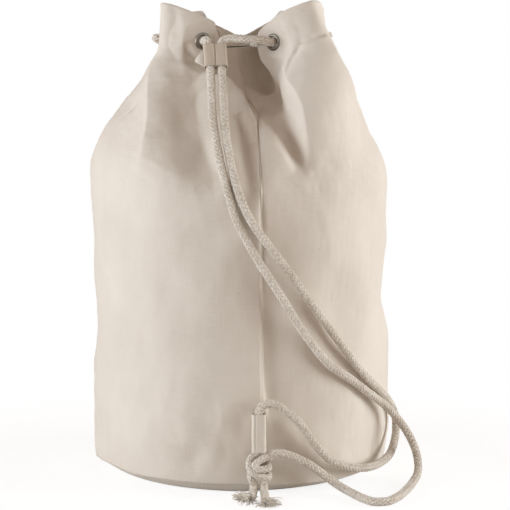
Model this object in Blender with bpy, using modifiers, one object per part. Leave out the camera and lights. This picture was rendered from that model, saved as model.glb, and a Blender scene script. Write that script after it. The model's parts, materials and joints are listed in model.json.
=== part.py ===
"""A drawcord sailor bag: a round canvas duffel whose rope closes the mouth and doubles as the strap.

Metres, +Z up. The origin is the middle of the base, on the surface the bag stands on, and the
front, with the seam, the slider and the knot, faces -Y. Angles run from the front towards +X.
"""

import math

import bmesh
import bpy
import numpy as np
from mathutils import Matrix, Vector

# Canvas body
BODY_RADIUS = 0.141
BASE_SEAM_RADIUS = 0.137
BASE_SEAM_HEIGHT = 0.008
FLARE_HEIGHT = 0.070
WALL_HEIGHT = 0.442
CANVAS_THICKNESS = 0.0011
HEM_DEPTH = 0.040
SEWN_GAP = 0.0003

# Mouth, gathered by the rope into four lobes with a valley between each two. The rows stand at
# even steps of cloth from the middle of the front. Each is an angle in degrees, the mouth's
# radius as a share of the body's, the heights of the shoulder and the rim as shares of the
# wall's, and the share of the way from shoulder to rim where the cloth has come all the way in.
MOUTH_SHARES = (
    (17.0, 0.290, 0.611, 0.9140, 0.85),
    (23.0, 0.555, 0.611, 0.9640, 0.78),
    (38.0, 0.760, 0.606, 0.9977, 0.98),
    (64.0, 0.600, 0.606, 0.9774, 0.84),
    (88.0, 0.430, 0.611, 0.9367, 0.88),
    (118.0, 0.500, 0.624, 0.9661, 0.80),
    (151.0, 0.570, 0.633, 0.9819, 0.90),
    (164.0, 0.510, 0.638, 0.9615, 0.80),
    (180.0, 0.340, 0.643, 0.9231, 0.90),
    (196.0, 0.510, 0.647, 0.9615, 0.80),
    (209.0, 0.570, 0.652, 0.9819, 0.90),
    (244.0, 0.500, 0.656, 0.9661, 0.80),
    (272.0, 0.430, 0.656, 0.9367, 0.88),
    (294.0, 0.560, 0.647, 0.9729, 0.80),
    (314.0, 0.685, 0.624, 0.9932, 0.74),
    (335.5, 0.567, 0.611, 0.9661, 0.78),
)
# How late the cloth comes in on its way up: 1 is a straight cone
GATHER_POWER = 1.5
COLUMNS = 64
ROWS_BELOW_SHOULDER = 5
ROWS_ABOVE_SHOULDER = 11

# Base panel
BASE_FLAT_RADIUS = 0.131
BASE_CORNER_STEPS = 5
SEAM_ALLOWANCE = 0.010
BASE_STEPS = 48

# Lapped seam up the front
SEAM_OFFSET = 0.0205
LAP_WIDTH = 0.010
LAP_GAP = 0.0007
LAP_TOP_MARGIN = 0.0015

# Rope
ROPE_RADIUS = 0.004
ROPE_END_GAP = 0.0003
ROPE_BEND_SPACING = 0.0045
ROPE_HELD_SPACING = 0.0085
ROPE_FREE_SPACING = 0.0145
ROPE_FOOT_SPACING = 0.0045
FOOT_POINTS = 4
ROPE_RESOLUTION = 2

# Eyelets: each is a grommet from outside and a washer that its barrel is rolled over inside
EYELET_COUNT = 8
EYELET_DROP = 0.022
EYELET_HOLE_RADIUS = 0.0056
GROMMET_FLANGE_RADIUS = 0.0079
GROMMET_BARREL_RADIUS = 0.0052
GROMMET_BORE_RADIUS = 0.0046
GROMMET_DOME = 0.0015
GROMMET_ROLL_RADIUS = 0.0066
GROMMET_ROLL_HEIGHT = 0.0009
# The flange's rounded face: shares of the way from bore to edge, and of the dome's height
DOME_SHARES = ((0, 0.5), (0.12, 0.9), (0.38, 1), (0.75, 0.8), (1, 0.35), (1, 0))
WASHER_RADIUS = 0.0084
WASHER_THICKNESS = 0.0006
WASHER_GAP = 0.0005
EYELET_FLAT_RADIUS = 0.019
EYELET_STEPS = 16
# How far the rope runs straight out of and into an eyelet before it turns
ROPE_OUT = 0.0090
ROPE_IN = 0.0100
ROPE_MIDWAY_SHARE = 0.5

# Slider: two rope channels sewn from one strip of canvas, which runs along the doubled rope
SLIDER_OUT_SHARE = 0.6383
RUN_END_OUT_SHARE = 0.8369
SLIDER_CENTRE = Vector((-0.0216, -BODY_RADIUS * SLIDER_OUT_SHARE, 0.3910))
SLIDER_RUN_END = Vector((-0.0184, -BODY_RADIUS * RUN_END_OUT_SHARE, 0.3370))
SLIDER_LENGTH = 0.0220
SLIDER_WALL = 0.0010
SLIDER_CLEARANCE = 0.0005
SLIDER_STRAIGHT = 0.0010
SLIDER_WEB = 0.0012
SLIDER_FLAP_WIDTH = 0.0090
SLIDER_FLAP_HEIGHT = 0.0120
FLAP_TIP_SHARE = 0.33
CHANNEL_STEPS = 20

# Anchor tab: a sleeve of folded canvas with its back edge caught in the seam
TAB_CENTRE_X = 0.0174
TAB_BOTTOM = 0.0415
TAB_TOP = 0.0762
TAB_BORE_RADIUS = 0.0055
TAB_EDGE_WIDTH = 0.0022
TAB_GAP = 0.0003
TAB_STEPS = 24

# Knot that ties both strands together, and their cut ends
KNOT_CENTRE = Vector((0.0174, -0.1485, 0.0270))
KNOT_HALF_SIZE = Vector((0.0120, 0.0090, 0.0133))
KNOT_SEGMENTS = 20
KNOT_RINGS = 12
# The way the left strand comes down into the knot's side
SIDE_ENTRY_SHARES = Vector((0.72, -0.05, 0.69))
TAIL_SPREAD = 0.0043
TAIL_START_HEIGHT = 0.0130

# The strands' routes, chosen by hand: each one's turn from its eyelet down into its channel,
# then from the end of the slider's run to the knot
LEFT_LEAD_IN = ((-0.0292, -0.0832, 0.4062),)
RIGHT_LEAD_IN = (
    (0.0230, -0.0812, 0.4056),
    (0.0120, -0.0850, 0.4064),
    (0.0010, -0.0856, 0.4070),
    (-0.0085, -0.0848, 0.4074),
    (-0.0141, -0.0838, 0.4060),
)
LEFT_STRAND_ROUTE = (
    (-0.0205, -0.1275, 0.3180),
    (-0.0168, -0.1362, 0.3000),
    (-0.0120, -0.1434, 0.2810),
    (-0.0064, -0.1462, 0.2604),
    (-0.0003, -0.1465, 0.2438),
    (0.0171, -0.1466, 0.2117),
    (0.0369, -0.1428, 0.1807),
    (0.0538, -0.1363, 0.1523),
    (0.0790, -0.1233, 0.1180),
    (0.0994, -0.1078, 0.1017),
    (0.1105, -0.0968, 0.0920),
    (0.1217, -0.0830, 0.0817),
    (0.1342, -0.0685, 0.0706),
    (0.1421, -0.0620, 0.0616),
    (0.1505, -0.0595, 0.0512),
    (0.1580, -0.0600, 0.0390),
    (0.1632, -0.0625, 0.0270),
    (0.1652, -0.0690, 0.0160),
    (0.1632, -0.0830, 0.0080),
    (0.1575, -0.1020, 0.0046),
    (0.1520, -0.1236, 0.0042),
    (0.1436, -0.1516, 0.0042),
    (0.1337, -0.1736, 0.0042),
    (0.1231, -0.1833, 0.0042),
    (0.1135, -0.1756, 0.0042),
    (0.1044, -0.1570, 0.0043),
    (0.0957, -0.1400, 0.0058),
    (0.0865, -0.1318, 0.0100),
    (0.0765, -0.1325, 0.0175),
    (0.0631, -0.1385, 0.0283),
    (0.0478, -0.1446, 0.0370),
    (0.0375, -0.1474, 0.0404),
)
RIGHT_STRAND_ROUTE = (
    (-0.0112, -0.1275, 0.3180),
    (-0.0080, -0.1362, 0.3000),
    (-0.0040, -0.1434, 0.2830),
    (0.0008, -0.1464, 0.2680),
    (0.0085, -0.1470, 0.2510),
    (0.0171, -0.1468, 0.2376),
    (0.0262, -0.1454, 0.2253),
    (0.0354, -0.1434, 0.2128),
    (0.0460, -0.1391, 0.1988),
    (0.0677, -0.1299, 0.1669),
    (0.0885, -0.1166, 0.1378),
    (0.1085, -0.0982, 0.1090),
    (0.1245, -0.0768, 0.0898),
    (0.1385, -0.0500, 0.0716),
    (0.1448, -0.0390, 0.0580),
    (0.1468, -0.0368, 0.0460),
    (0.1452, -0.0420, 0.0335),
    (0.1408, -0.0555, 0.0245),
    (0.1335, -0.0710, 0.0195),
    (0.1194, -0.0915, 0.0170),
    (0.1028, -0.1108, 0.0205),
    (0.0842, -0.1253, 0.0285),
    (0.0695, -0.1335, 0.0433),
    (0.0604, -0.1376, 0.0570),
    (0.0514, -0.1410, 0.0692),
    (0.0389, -0.1450, 0.0797),
    (0.0295, -0.1468, 0.0850),
    (0.0228, -0.1473, 0.0841),
    (0.0184, -0.1472, 0.0812),
)
LEFT_TAIL_ROUTE = (
    (0.0130, -0.1488, 0.0095),
    (0.0123, -0.1515, 0.0062),
    (0.0114, -0.1570, 0.0045),
    (0.0105, -0.1640, 0.0042),
)
RIGHT_TAIL_ROUTE = (
    (0.0218, -0.1488, 0.0095),
    (0.0223, -0.1520, 0.0060),
    (0.0229, -0.1590, 0.0044),
    (0.0229, -0.1700, 0.0042),
    (0.0226, -0.1790, 0.0042),
)

# Working values: steps for measuring curves and surfaces, the depth that a cutter goes past, and
# the share of two layers that one layer is
CURVE_STEPS = 24
TURN_STEP_SHARE = 0.001
CUT_OVERRUN = 0.004
MERGE_DISTANCE = 0.00001
SINGLE_LAYER_SHARE = 0.5

CANVAS_COLOUR = (0.68, 0.60, 0.50, 1.0)
BASE_COLOUR = (0.62, 0.54, 0.45, 1.0)
ROPE_COLOUR = (0.74, 0.68, 0.59, 1.0)
METAL_COLOUR = (0.55, 0.54, 0.50, 1.0)


def clear_scene():
    for old in list(bpy.data.objects):
        bpy.data.objects.remove(old, do_unlink=True)


def new_collection(name):
    collection = bpy.data.collections.new(name)
    bpy.context.scene.collection.children.link(collection)
    return collection


def new_material(name, colour, roughness, metallic=0.0):
    material = bpy.data.materials.new(name)
    material.use_nodes = True
    shader = material.node_tree.nodes["Principled BSDF"]
    shader.inputs["Base Color"].default_value = colour
    shader.inputs["Roughness"].default_value = roughness
    shader.inputs["Metallic"].default_value = metallic
    return material


def add_object(name, data, material=None):
    """Links an object; one without a material is a cutter."""
    thing = bpy.data.objects.new(name, data)
    if material is None:
        CUTTERS.objects.link(thing)
        thing.hide_render = True
        thing.display_type = "WIRE"
    else:
        PARTS.objects.link(thing)
        data.materials.append(material)
    return thing


def mesh_from(name, shape):
    """Turns a bmesh into a mesh with its faces pointing out."""
    bmesh.ops.recalc_face_normals(shape, faces=shape.faces)
    mesh = bpy.data.meshes.new(name)
    shape.to_mesh(mesh)
    shape.free()
    return mesh


def front_direction(angle):
    """The level direction at this angle in radians from the front towards +X."""
    return Vector((math.sin(angle), -math.cos(angle), 0))


def smooth_point(points, place, closed=False):
    """A point on the Catmull-Rom curve through the points; place counts spans from the first."""
    last = len(points) if closed else len(points) - 1
    span = min(int(place), last - 1)
    part = place - span

    def near(index):
        if closed:
            return points[index % len(points)]
        return points[max(0, min(index, len(points) - 1))]

    before, start, end, after = (near(span + step) for step in (-1, 0, 1, 2))
    return 0.5 * (
        2 * start
        + (end - before) * part
        + (2 * before - 5 * start + 4 * end - after) * part**2
        + (3 * start - before - 3 * end + after) * part**3
    )


def evenly_spaced(points, spacing):
    """Points about this far apart along the smooth curve through the given ones."""
    count = (len(points) - 1) * CURVE_STEPS
    dense = [smooth_point(points, step / CURVE_STEPS) for step in range(count + 1)]
    reach = [0.0]
    for start, end in zip(dense, dense[1:]):
        reach.append(reach[-1] + (end - start).length)
    pieces = max(1, round(reach[-1] / spacing))
    chosen = [dense[0]]
    at = 0
    for piece in range(1, pieces):
        goal = reach[-1] * piece / pieces
        while reach[at + 1] < goal:
            at += 1
        part = (goal - reach[at]) / (reach[at + 1] - reach[at])
        chosen.append(dense[at].lerp(dense[at + 1], part))
    return chosen + [dense[-1]]


# The canvas wall as a surface: turn is the share of a full circle from the front towards +X


def mouth_rows():
    """The rows of MOUTH_SHARES with their angle and radius turned into a level place."""
    rows = []
    for angle, radius_share, *others in MOUTH_SHARES:
        place = front_direction(math.radians(angle)) * BODY_RADIUS * radius_share
        rows.append(np.array((place.x, place.y, *others)))
    return rows


def mouth_shape(turn):
    """The mouth above this turn: its level place, shoulder height, rim height and gathered share."""
    rows = mouth_rows()
    x, y, shoulder, rim, gathered = smooth_point(rows, (turn % 1) * len(rows), closed=True)
    return Vector((x, y, 0)), shoulder * WALL_HEIGHT, rim * WALL_HEIGHT, gathered


def mouth_point(turn):
    return mouth_shape(turn)[0]


def rim_height(turn):
    return mouth_shape(turn)[2]


def gathered_point(turn, height):
    mouth, shoulder, rim, gathered = mouth_shape(turn)
    out = front_direction(2 * math.pi * turn)
    below_flare = max(0.0, FLARE_HEIGHT - height) / (FLARE_HEIGHT - BASE_SEAM_HEIGHT)
    wall = out * (BODY_RADIUS - (BODY_RADIUS - BASE_SEAM_RADIUS) * below_flare**2)
    above = (height - shoulder) / (rim - shoulder)
    part = min(1.0, max(0.0, above / gathered))
    point = wall.lerp(mouth, part**GATHER_POWER)
    point.z = height
    return point


def eyelet_seats():
    """Centre and outward direction of each eyelet, from the right of the front round to the left."""
    seats = []
    for index in range(EYELET_COUNT):
        turn = (index + 0.5) / EYELET_COUNT
        along = mouth_point(turn + TURN_STEP_SHARE) - mouth_point(turn - TURN_STEP_SHARE)
        outward = Vector((along.y, -along.x, 0)).normalized()
        centre = gathered_point(turn, rim_height(turn) - EYELET_DROP)
        seats.append((centre, outward))
    return seats


def wall_point(turn, height):
    """The outer face of the canvas, drawn flat round each eyelet by the grommet."""
    point = gathered_point(turn, height)
    for centre, outward in EYELET_SEATS:
        away = point - centre
        lift = away.dot(outward)
        reach = (away - outward * lift).length
        fade = min(1.0, max(0.0, 3 - 2 * reach / EYELET_FLAT_RADIUS))
        fade *= min(1.0, max(0.0, 2 - abs(lift) / EYELET_FLAT_RADIUS))
        point -= outward * lift * fade
    return point


def wall_outward(turn, height):
    """The direction square to the canvas, pointing out."""
    height_step = BODY_RADIUS * TURN_STEP_SHARE
    across = wall_point(turn + TURN_STEP_SHARE, height) - wall_point(turn - TURN_STEP_SHARE, height)
    up = wall_point(turn, height + height_step) - wall_point(turn, height - height_step)
    return across.cross(up).normalized()


def lap_turns():
    start = math.asin(SEAM_OFFSET / BODY_RADIUS) / (2 * math.pi)
    return start, start + LAP_WIDTH / BODY_RADIUS / (2 * math.pi)


def column_turns():
    """The wall's columns, with one more at each edge of the seam's lap."""
    return sorted([index / COLUMNS for index in range(COLUMNS)] + list(lap_turns()))


def row_heights(turn, bottom, top):
    shoulder = mouth_shape(turn)[1]
    below = [
        bottom + (shoulder - bottom) * row / ROWS_BELOW_SHOULDER
        for row in range(ROWS_BELOW_SHOULDER)
    ]
    above = [
        shoulder + (top - shoulder) * row / ROWS_ABOVE_SHOULDER
        for row in range(ROWS_ABOVE_SHOULDER + 1)
    ]
    return below + above


def lofted_sheet(name, rows_of_points, closed):
    """An open surface through columns of points, each listed from the bottom up."""
    shape = bmesh.new()
    columns = [[shape.verts.new(point) for point in column] for column in rows_of_points]
    neighbours = columns[1:] + (columns[:1] if closed else [])
    for column, following in zip(columns, neighbours):
        for row in range(len(column) - 1):
            shape.faces.new((column[row], following[row], following[row + 1], column[row + 1]))
    mesh = bpy.data.meshes.new(name)
    shape.to_mesh(mesh)
    shape.free()
    return mesh


def build_body_panel():
    turns = column_turns()
    columns = [
        [wall_point(turn, height) for height in row_heights(turn, BASE_SEAM_HEIGHT, rim_height(turn))]
        for turn in turns
    ]
    mesh = lofted_sheet("body_panel", columns, closed=True)
    mesh.shade_smooth()
    panel = add_object("body_panel", mesh, CANVAS)
    thickness = panel.vertex_groups.new(name="layers")
    rows = len(columns[0])
    for column, turn in enumerate(turns):
        for row, point in enumerate(columns[column]):
            in_hem = point.z > rim_height(turn) - HEM_DEPTH
            layers = 1.0 if in_hem else SINGLE_LAYER_SHARE
            thickness.add([column * rows + row], layers, "REPLACE")
    wall = panel.modifiers.new("canvas", "SOLIDIFY")
    wall.thickness = 2 * CANVAS_THICKNESS
    wall.offset = -1
    wall.vertex_group = "layers"
    holes = bmesh.new()
    for centre, outward in EYELET_SEATS:
        bmesh.ops.create_cone(
            holes,
            cap_ends=True,
            segments=EYELET_STEPS,
            radius1=EYELET_HOLE_RADIUS,
            radius2=EYELET_HOLE_RADIUS,
            depth=2 * (2 * CANVAS_THICKNESS + CUT_OVERRUN),
            matrix=turned_to(centre, outward),
        )
    cutter = add_object("eyelet_holes", mesh_from("eyelet_holes", holes))
    cut = panel.modifiers.new("eyelet holes", "BOOLEAN")
    cut.operation = "DIFFERENCE"
    cut.object = cutter
    return panel


def turned_to(centre, direction):
    """The placing that puts a piece's own +Z along a direction."""
    return Matrix.Translation(centre) @ direction.to_track_quat("Z", "Y").to_matrix().to_4x4()


def turned_piece(name, profile, steps, material, closed):
    """A profile of radius and height, turned about Z; it runs down its outer side."""
    shape = bmesh.new()
    points = [shape.verts.new((radius, 0, height)) for radius, height in profile]
    for start, end in zip(points, points[1:]):
        shape.edges.new((start, end))
    if closed:
        shape.edges.new((points[-1], points[0]))
    mesh = bpy.data.meshes.new(name)
    shape.to_mesh(mesh)
    shape.free()
    piece = add_object(name, mesh, material)
    turn = piece.modifiers.new("turn", "SCREW")
    turn.axis = "Z"
    turn.angle = 2 * math.pi
    turn.steps = steps
    turn.render_steps = steps
    turn.use_merge_vertices = True
    turn.merge_threshold = MERGE_DISTANCE
    turn.use_smooth_shade = True
    return piece


def build_base_panel():
    """The round bottom: flat on the ground, rounded up to the seam, its allowance turned up inside."""
    corner_out = BASE_SEAM_RADIUS - BASE_FLAT_RADIUS
    corner_up = BASE_SEAM_HEIGHT - SEWN_GAP
    lip_radius = BASE_SEAM_RADIUS - CANVAS_THICKNESS - SEWN_GAP
    lip_top = BASE_SEAM_HEIGHT + SEAM_ALLOWANCE
    outer = []
    inner = []
    for step in range(BASE_CORNER_STEPS + 1):
        angle = math.pi / 2 * step / BASE_CORNER_STEPS
        across, up = math.cos(angle), 1 - math.sin(angle)
        outer.append((BASE_FLAT_RADIUS + corner_out * across, corner_up * up))
        inner.append(
            (
                BASE_FLAT_RADIUS + (lip_radius - CANVAS_THICKNESS - BASE_FLAT_RADIUS) * across,
                CANVAS_THICKNESS + (corner_up - CANVAS_THICKNESS) * up,
            )
        )
    lip = [(lip_radius - CANVAS_THICKNESS, lip_top), (lip_radius, lip_top), (lip_radius, corner_up)]
    profile = [(0, CANVAS_THICKNESS)] + inner[::-1] + lip + outer + [(0, 0)]
    return turned_piece("base_panel", profile, BASE_STEPS, BASE, closed=False)


def build_seam_lap():
    """The panel's lapped edge, sewn flat from the base seam to the rim."""
    edges = lap_turns()
    turns = [turn for turn in column_turns() if edges[0] <= turn <= edges[1]]
    columns = []
    for turn in turns:
        heights = row_heights(turn, BASE_SEAM_HEIGHT, rim_height(turn))
        heights[-1] -= LAP_TOP_MARGIN
        columns.append(
            [wall_point(turn, height) + wall_outward(turn, height) * LAP_GAP for height in heights]
        )
    mesh = lofted_sheet("seam_lap", columns, closed=False)
    mesh.shade_smooth()
    lap = add_object("seam_lap", mesh, CANVAS)
    wall = lap.modifiers.new("canvas", "SOLIDIFY")
    wall.thickness = CANVAS_THICKNESS
    wall.offset = 1
    return lap


def build_eyelets():
    """A grommet and a washer for each hole, seated on both faces of the hem."""
    hem = 2 * CANVAS_THICKNESS
    washer_top = -hem - WASHER_GAP
    roll_top = washer_top - WASHER_THICKNESS - SEWN_GAP
    flange = GROMMET_FLANGE_RADIUS - GROMMET_BORE_RADIUS
    grommet = [
        (GROMMET_BORE_RADIUS + flange * out_share, SEWN_GAP + GROMMET_DOME * up_share)
        for out_share, up_share in DOME_SHARES
    ]
    grommet += [
        (GROMMET_BARREL_RADIUS, SEWN_GAP),
        (GROMMET_BARREL_RADIUS, roll_top),
        (GROMMET_ROLL_RADIUS, roll_top),
        (GROMMET_ROLL_RADIUS, roll_top - GROMMET_ROLL_HEIGHT / 2),
        (GROMMET_BARREL_RADIUS, roll_top - GROMMET_ROLL_HEIGHT),
        (GROMMET_BORE_RADIUS, roll_top - GROMMET_ROLL_HEIGHT / 2),
    ]
    washer = [
        (EYELET_HOLE_RADIUS, washer_top),
        (WASHER_RADIUS, washer_top),
        (WASHER_RADIUS, washer_top - WASHER_THICKNESS),
        (EYELET_HOLE_RADIUS, washer_top - WASHER_THICKNESS),
    ]
    for number, (centre, outward) in enumerate(EYELET_SEATS, start=1):
        for kind, profile in (("grommet", grommet), ("washer", washer)):
            piece = turned_piece(f"{kind}_{number}", profile, EYELET_STEPS, METAL, closed=True)
            piece.matrix_world = turned_to(centre, outward)


def add_rope(name, points):
    curve = bpy.data.curves.new(name, "CURVE")
    curve.dimensions = "3D"
    curve.bevel_depth = ROPE_RADIUS
    curve.bevel_resolution = ROPE_RESOLUTION
    curve.use_fill_caps = True
    spline = curve.splines.new("POLY")
    spline.points.add(len(points) - 1)
    for target, point in zip(spline.points, points):
        target.co = (*point, 1)
    spline.use_smooth = True
    return add_object(name, curve, ROPE)


def rope_leaves(index):
    """Where the free rope starts outside an eyelet, just clear of the held rope's end."""
    centre, outward = EYELET_SEATS[index]
    face = SEWN_GAP + GROMMET_DOME + ROPE_END_GAP
    return centre + outward * face, outward


def build_drawcord():
    """The held rope: in at the right front eyelet, weaving round the mouth, out at the left one."""
    route = []
    for index, (centre, outward) in enumerate(EYELET_SEATS):
        through = [outward * ROPE_OUT, outward * ROPE_OUT / 2, Vector(), outward * -ROPE_IN / 2]
        through.append(outward * -ROPE_IN)
        passed = [centre + step for step in through]
        if index % 2:
            passed.reverse()
        if index == 0:
            passed[:2] = [rope_leaves(0)[0]]
        if index == EYELET_COUNT - 1:
            passed[-2:] = [rope_leaves(index)[0]]
        if route:
            route.append(route[-1].lerp(passed[0], ROPE_MIDWAY_SHARE))
        route += passed
    return add_rope("drawcord", evenly_spaced(route, ROPE_HELD_SPACING))


def slide_frame():
    """The slider's placing: its own +Z back up the rope, its own +X across the two channels."""
    up = (SLIDER_CENTRE - SLIDER_RUN_END).normalized()
    across = (Vector((1, 0, 0)) - up * up.x).normalized()
    back = up.cross(across)
    turned = Matrix((across, back, up)).transposed().to_4x4()
    return Matrix.Translation(SLIDER_CENTRE) @ turned


def channel_radius():
    return ROPE_RADIUS + SLIDER_CLEARANCE


def channel_offset():
    """How far each channel's middle is from the slider's: half the web and one bore."""
    return SLIDER_WEB / 2 + channel_radius()


def build_slider():
    frame = slide_frame()
    outer = channel_radius() + SLIDER_WALL
    offset = channel_offset()
    half = SLIDER_LENGTH / 2
    pieces = bmesh.new()
    bmesh.ops.create_cone(
        pieces, cap_ends=True, segments=CHANNEL_STEPS, radius1=outer, radius2=outer,
        depth=SLIDER_LENGTH, matrix=Matrix.Translation((-offset, 0, 0)),
    )
    slider = add_object("cord_slider", mesh_from("cord_slider", pieces), CANVAS)
    slider.matrix_world = frame

    right = bmesh.new()
    bmesh.ops.create_cone(
        right, cap_ends=True, segments=CHANNEL_STEPS, radius1=outer, radius2=outer,
        depth=SLIDER_LENGTH, matrix=Matrix.Translation((offset, 0, 0)),
    )
    web = bmesh.new()
    bmesh.ops.create_cube(
        web, size=1, matrix=Matrix.Diagonal((offset, 2 * SLIDER_WALL, SLIDER_LENGTH, 1)),
    )
    # The strip's free end is turned out to the left and narrows upwards.
    flap = bmesh.new()
    inside = -offset - channel_radius() - SLIDER_WALL / 2
    corners = (
        (inside, -half),
        (inside - SLIDER_FLAP_WIDTH, -half + SLIDER_FLAP_HEIGHT * FLAP_TIP_SHARE),
        (inside, -half + SLIDER_FLAP_HEIGHT),
    )
    face = flap.faces.new(
        [flap.verts.new((x, SLIDER_WALL / 2, z)) for x, z in corners]
    )
    grown = bmesh.ops.extrude_face_region(flap, geom=[face])
    moved = [item for item in grown["geom"] if isinstance(item, bmesh.types.BMVert)]
    bmesh.ops.translate(flap, vec=(0, -SLIDER_WALL, 0), verts=moved)
    for name, shape in (("right_channel", right), ("slider_web", web), ("slider_flap", flap)):
        part = add_object(name, mesh_from(name, shape))
        part.matrix_world = frame
        join = slider.modifiers.new(name, "BOOLEAN")
        join.operation = "UNION"
        join.object = part

    bores = bmesh.new()
    for side in (-1, 1):
        bmesh.ops.create_cone(
            bores, cap_ends=True, segments=CHANNEL_STEPS, radius1=channel_radius(),
            radius2=channel_radius(), depth=SLIDER_LENGTH + 2 * CUT_OVERRUN,
            matrix=Matrix.Translation((side * offset, 0, 0)),
        )
    cutter = add_object("channel_bores", mesh_from("channel_bores", bores))
    cutter.matrix_world = frame
    cut = slider.modifiers.new("channel bores", "BOOLEAN")
    cut.operation = "DIFFERENCE"
    cut.object = cutter
    return slider


def knot_surface(direction, gap):
    """The point where the knot's outer shape faces this direction, and a little beyond."""
    size = KNOT_HALF_SIZE
    scaled = Vector(a * b for a, b in zip(size, direction))
    point = Vector(a * b for a, b in zip(size, scaled.normalized()))
    return KNOT_CENTRE + point + direction * gap


def build_strand(name, eyelet, side, lead_in, route, end_run):
    """A free strand: out of its eyelet, down through its channel and along its route to the knot."""
    frame = slide_frame()
    up = frame.col[2].to_3d()
    channel = frame @ Vector((side * channel_offset(), 0, 0))
    run_end = channel + (SLIDER_RUN_END - SLIDER_CENTRE)
    above = channel + up * (SLIDER_LENGTH / 2)
    leaves, outward = rope_leaves(eyelet)
    start = leaves + outward * ROPE_END_GAP
    bend = [start + outward * ROPE_RADIUS / 2]
    bend += [Vector(point) for point in lead_in]
    bend += [above + up * SLIDER_STRAIGHT, above, channel]
    route = [Vector(point) for point in route]
    free = [channel, channel.lerp(run_end, 0.5), run_end] + route[: -FOOT_POINTS + 1]
    foot = route[-FOOT_POINTS:] + end_run
    points = [start]
    points += evenly_spaced(bend, ROPE_BEND_SPACING)[:-1]
    points += evenly_spaced(free, ROPE_FREE_SPACING)[:-1]
    points += evenly_spaced(foot, ROPE_FOOT_SPACING)
    return add_rope(name, points)


def tab_centre_y():
    """The sleeve's middle, as far out as clears the near edge of the seam's lap."""
    lap_face = BODY_RADIUS + LAP_GAP + CANVAS_THICKNESS
    lap_edge_y = -math.sqrt(lap_face**2 - SEAM_OFFSET**2)
    sleeve = TAB_BORE_RADIUS + CANVAS_THICKNESS + TAB_GAP
    return lap_edge_y - math.sqrt(sleeve**2 - (SEAM_OFFSET - TAB_CENTRE_X) ** 2)


def build_anchor_tab():
    """A sleeve for the right strand, with its edge reaching back to the canvas beside the lap."""
    outer = TAB_BORE_RADIUS + CANVAS_THICKNESS
    height = TAB_TOP - TAB_BOTTOM
    middle = Vector((TAB_CENTRE_X, tab_centre_y(), (TAB_TOP + TAB_BOTTOM) / 2))
    sleeve = bmesh.new()
    bmesh.ops.create_cone(
        sleeve, cap_ends=True, segments=TAB_STEPS, radius1=outer, radius2=outer, depth=height,
    )
    tab = add_object("anchor_tab", mesh_from("anchor_tab", sleeve), CANVAS)
    tab.location = middle

    # The wall's nearest point to the sleeve sets how far back the sewn edge reaches.
    edge_x = TAB_CENTRE_X - TAB_EDGE_WIDTH / 2
    back_y = -math.sqrt(BODY_RADIUS**2 - edge_x**2) - SEWN_GAP
    front_y = middle.y + TAB_BORE_RADIUS + CANVAS_THICKNESS / 2
    edge = bmesh.new()
    bmesh.ops.create_cube(
        edge, size=1, matrix=Matrix.Translation((0, (back_y + front_y) / 2 - middle.y, 0))
        @ Matrix.Diagonal((TAB_EDGE_WIDTH, back_y - front_y, height, 1)),
    )
    web = add_object("tab_edge", mesh_from("tab_edge", edge))
    web.location = middle
    join = tab.modifiers.new("sewn edge", "BOOLEAN")
    join.operation = "UNION"
    join.object = web

    bore = bmesh.new()
    bmesh.ops.create_cone(
        bore, cap_ends=True, segments=TAB_STEPS, radius1=TAB_BORE_RADIUS,
        radius2=TAB_BORE_RADIUS, depth=height + 2 * CUT_OVERRUN,
    )
    cutter = add_object("tab_bore", mesh_from("tab_bore", bore))
    cutter.location = middle
    cut = tab.modifiers.new("bore", "BOOLEAN")
    cut.operation = "DIFFERENCE"
    cut.object = cutter
    return tab


def build_knot():
    shape = bmesh.new()
    bmesh.ops.create_uvsphere(
        shape, u_segments=KNOT_SEGMENTS, v_segments=KNOT_RINGS, radius=1,
        matrix=Matrix.Diagonal((*KNOT_HALF_SIZE, 1)),
    )
    mesh = mesh_from("end_knot", shape)
    mesh.shade_smooth()
    knot = add_object("end_knot", mesh, ROPE)
    knot.location = KNOT_CENTRE
    return knot


def build_rope():
    build_drawcord()
    into_side = SIDE_ENTRY_SHARES.normalized()
    side_end = knot_surface(into_side, 2 * ROPE_END_GAP)
    side_run = [side_end + into_side * ROPE_RADIUS, side_end]
    build_strand("strand_left", EYELET_COUNT - 1, -1, LEFT_LEAD_IN, LEFT_STRAND_ROUTE, side_run)
    into_top = Vector((0, 0, 1))
    top_end = knot_surface(into_top, 2 * ROPE_END_GAP)
    into_tab = Vector((TAB_CENTRE_X, tab_centre_y(), TAB_TOP))
    out_of_tab = Vector((TAB_CENTRE_X, KNOT_CENTRE.y, TAB_BOTTOM))
    top_run = [into_tab, into_tab.lerp(out_of_tab, 0.5), out_of_tab, top_end]
    build_strand("strand_right", 0, 1, RIGHT_LEAD_IN, RIGHT_STRAND_ROUTE, top_run)
    for name, side, route in (
        ("tail_left", -1, LEFT_TAIL_ROUTE),
        ("tail_right", 1, RIGHT_TAIL_ROUTE),
    ):
        start = Vector((KNOT_CENTRE.x + side * TAIL_SPREAD, KNOT_CENTRE.y, TAIL_START_HEIGHT))
        points = [start] + [Vector(point) for point in route]
        add_rope(name, evenly_spaced(points, ROPE_BEND_SPACING))


clear_scene()
PARTS = new_collection("sailor_bag")
CUTTERS = new_collection("cutters")
CANVAS = new_material("natural cotton canvas", CANVAS_COLOUR, 0.9)
BASE = new_material("natural cotton canvas base", BASE_COLOUR, 0.9)
ROPE = new_material("braided cotton rope", ROPE_COLOUR, 0.9)
METAL = new_material("nickel plated brass", METAL_COLOUR, 0.3, metallic=1.0)
EYELET_SEATS = eyelet_seats()

build_body_panel()
build_base_panel()
build_seam_lap()
build_eyelets()
build_slider()
build_anchor_tab()
build_knot()
build_rope()
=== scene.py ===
import json
import math

import bmesh
import bpy
import numpy as np
from mathutils import Matrix, Vector

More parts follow.
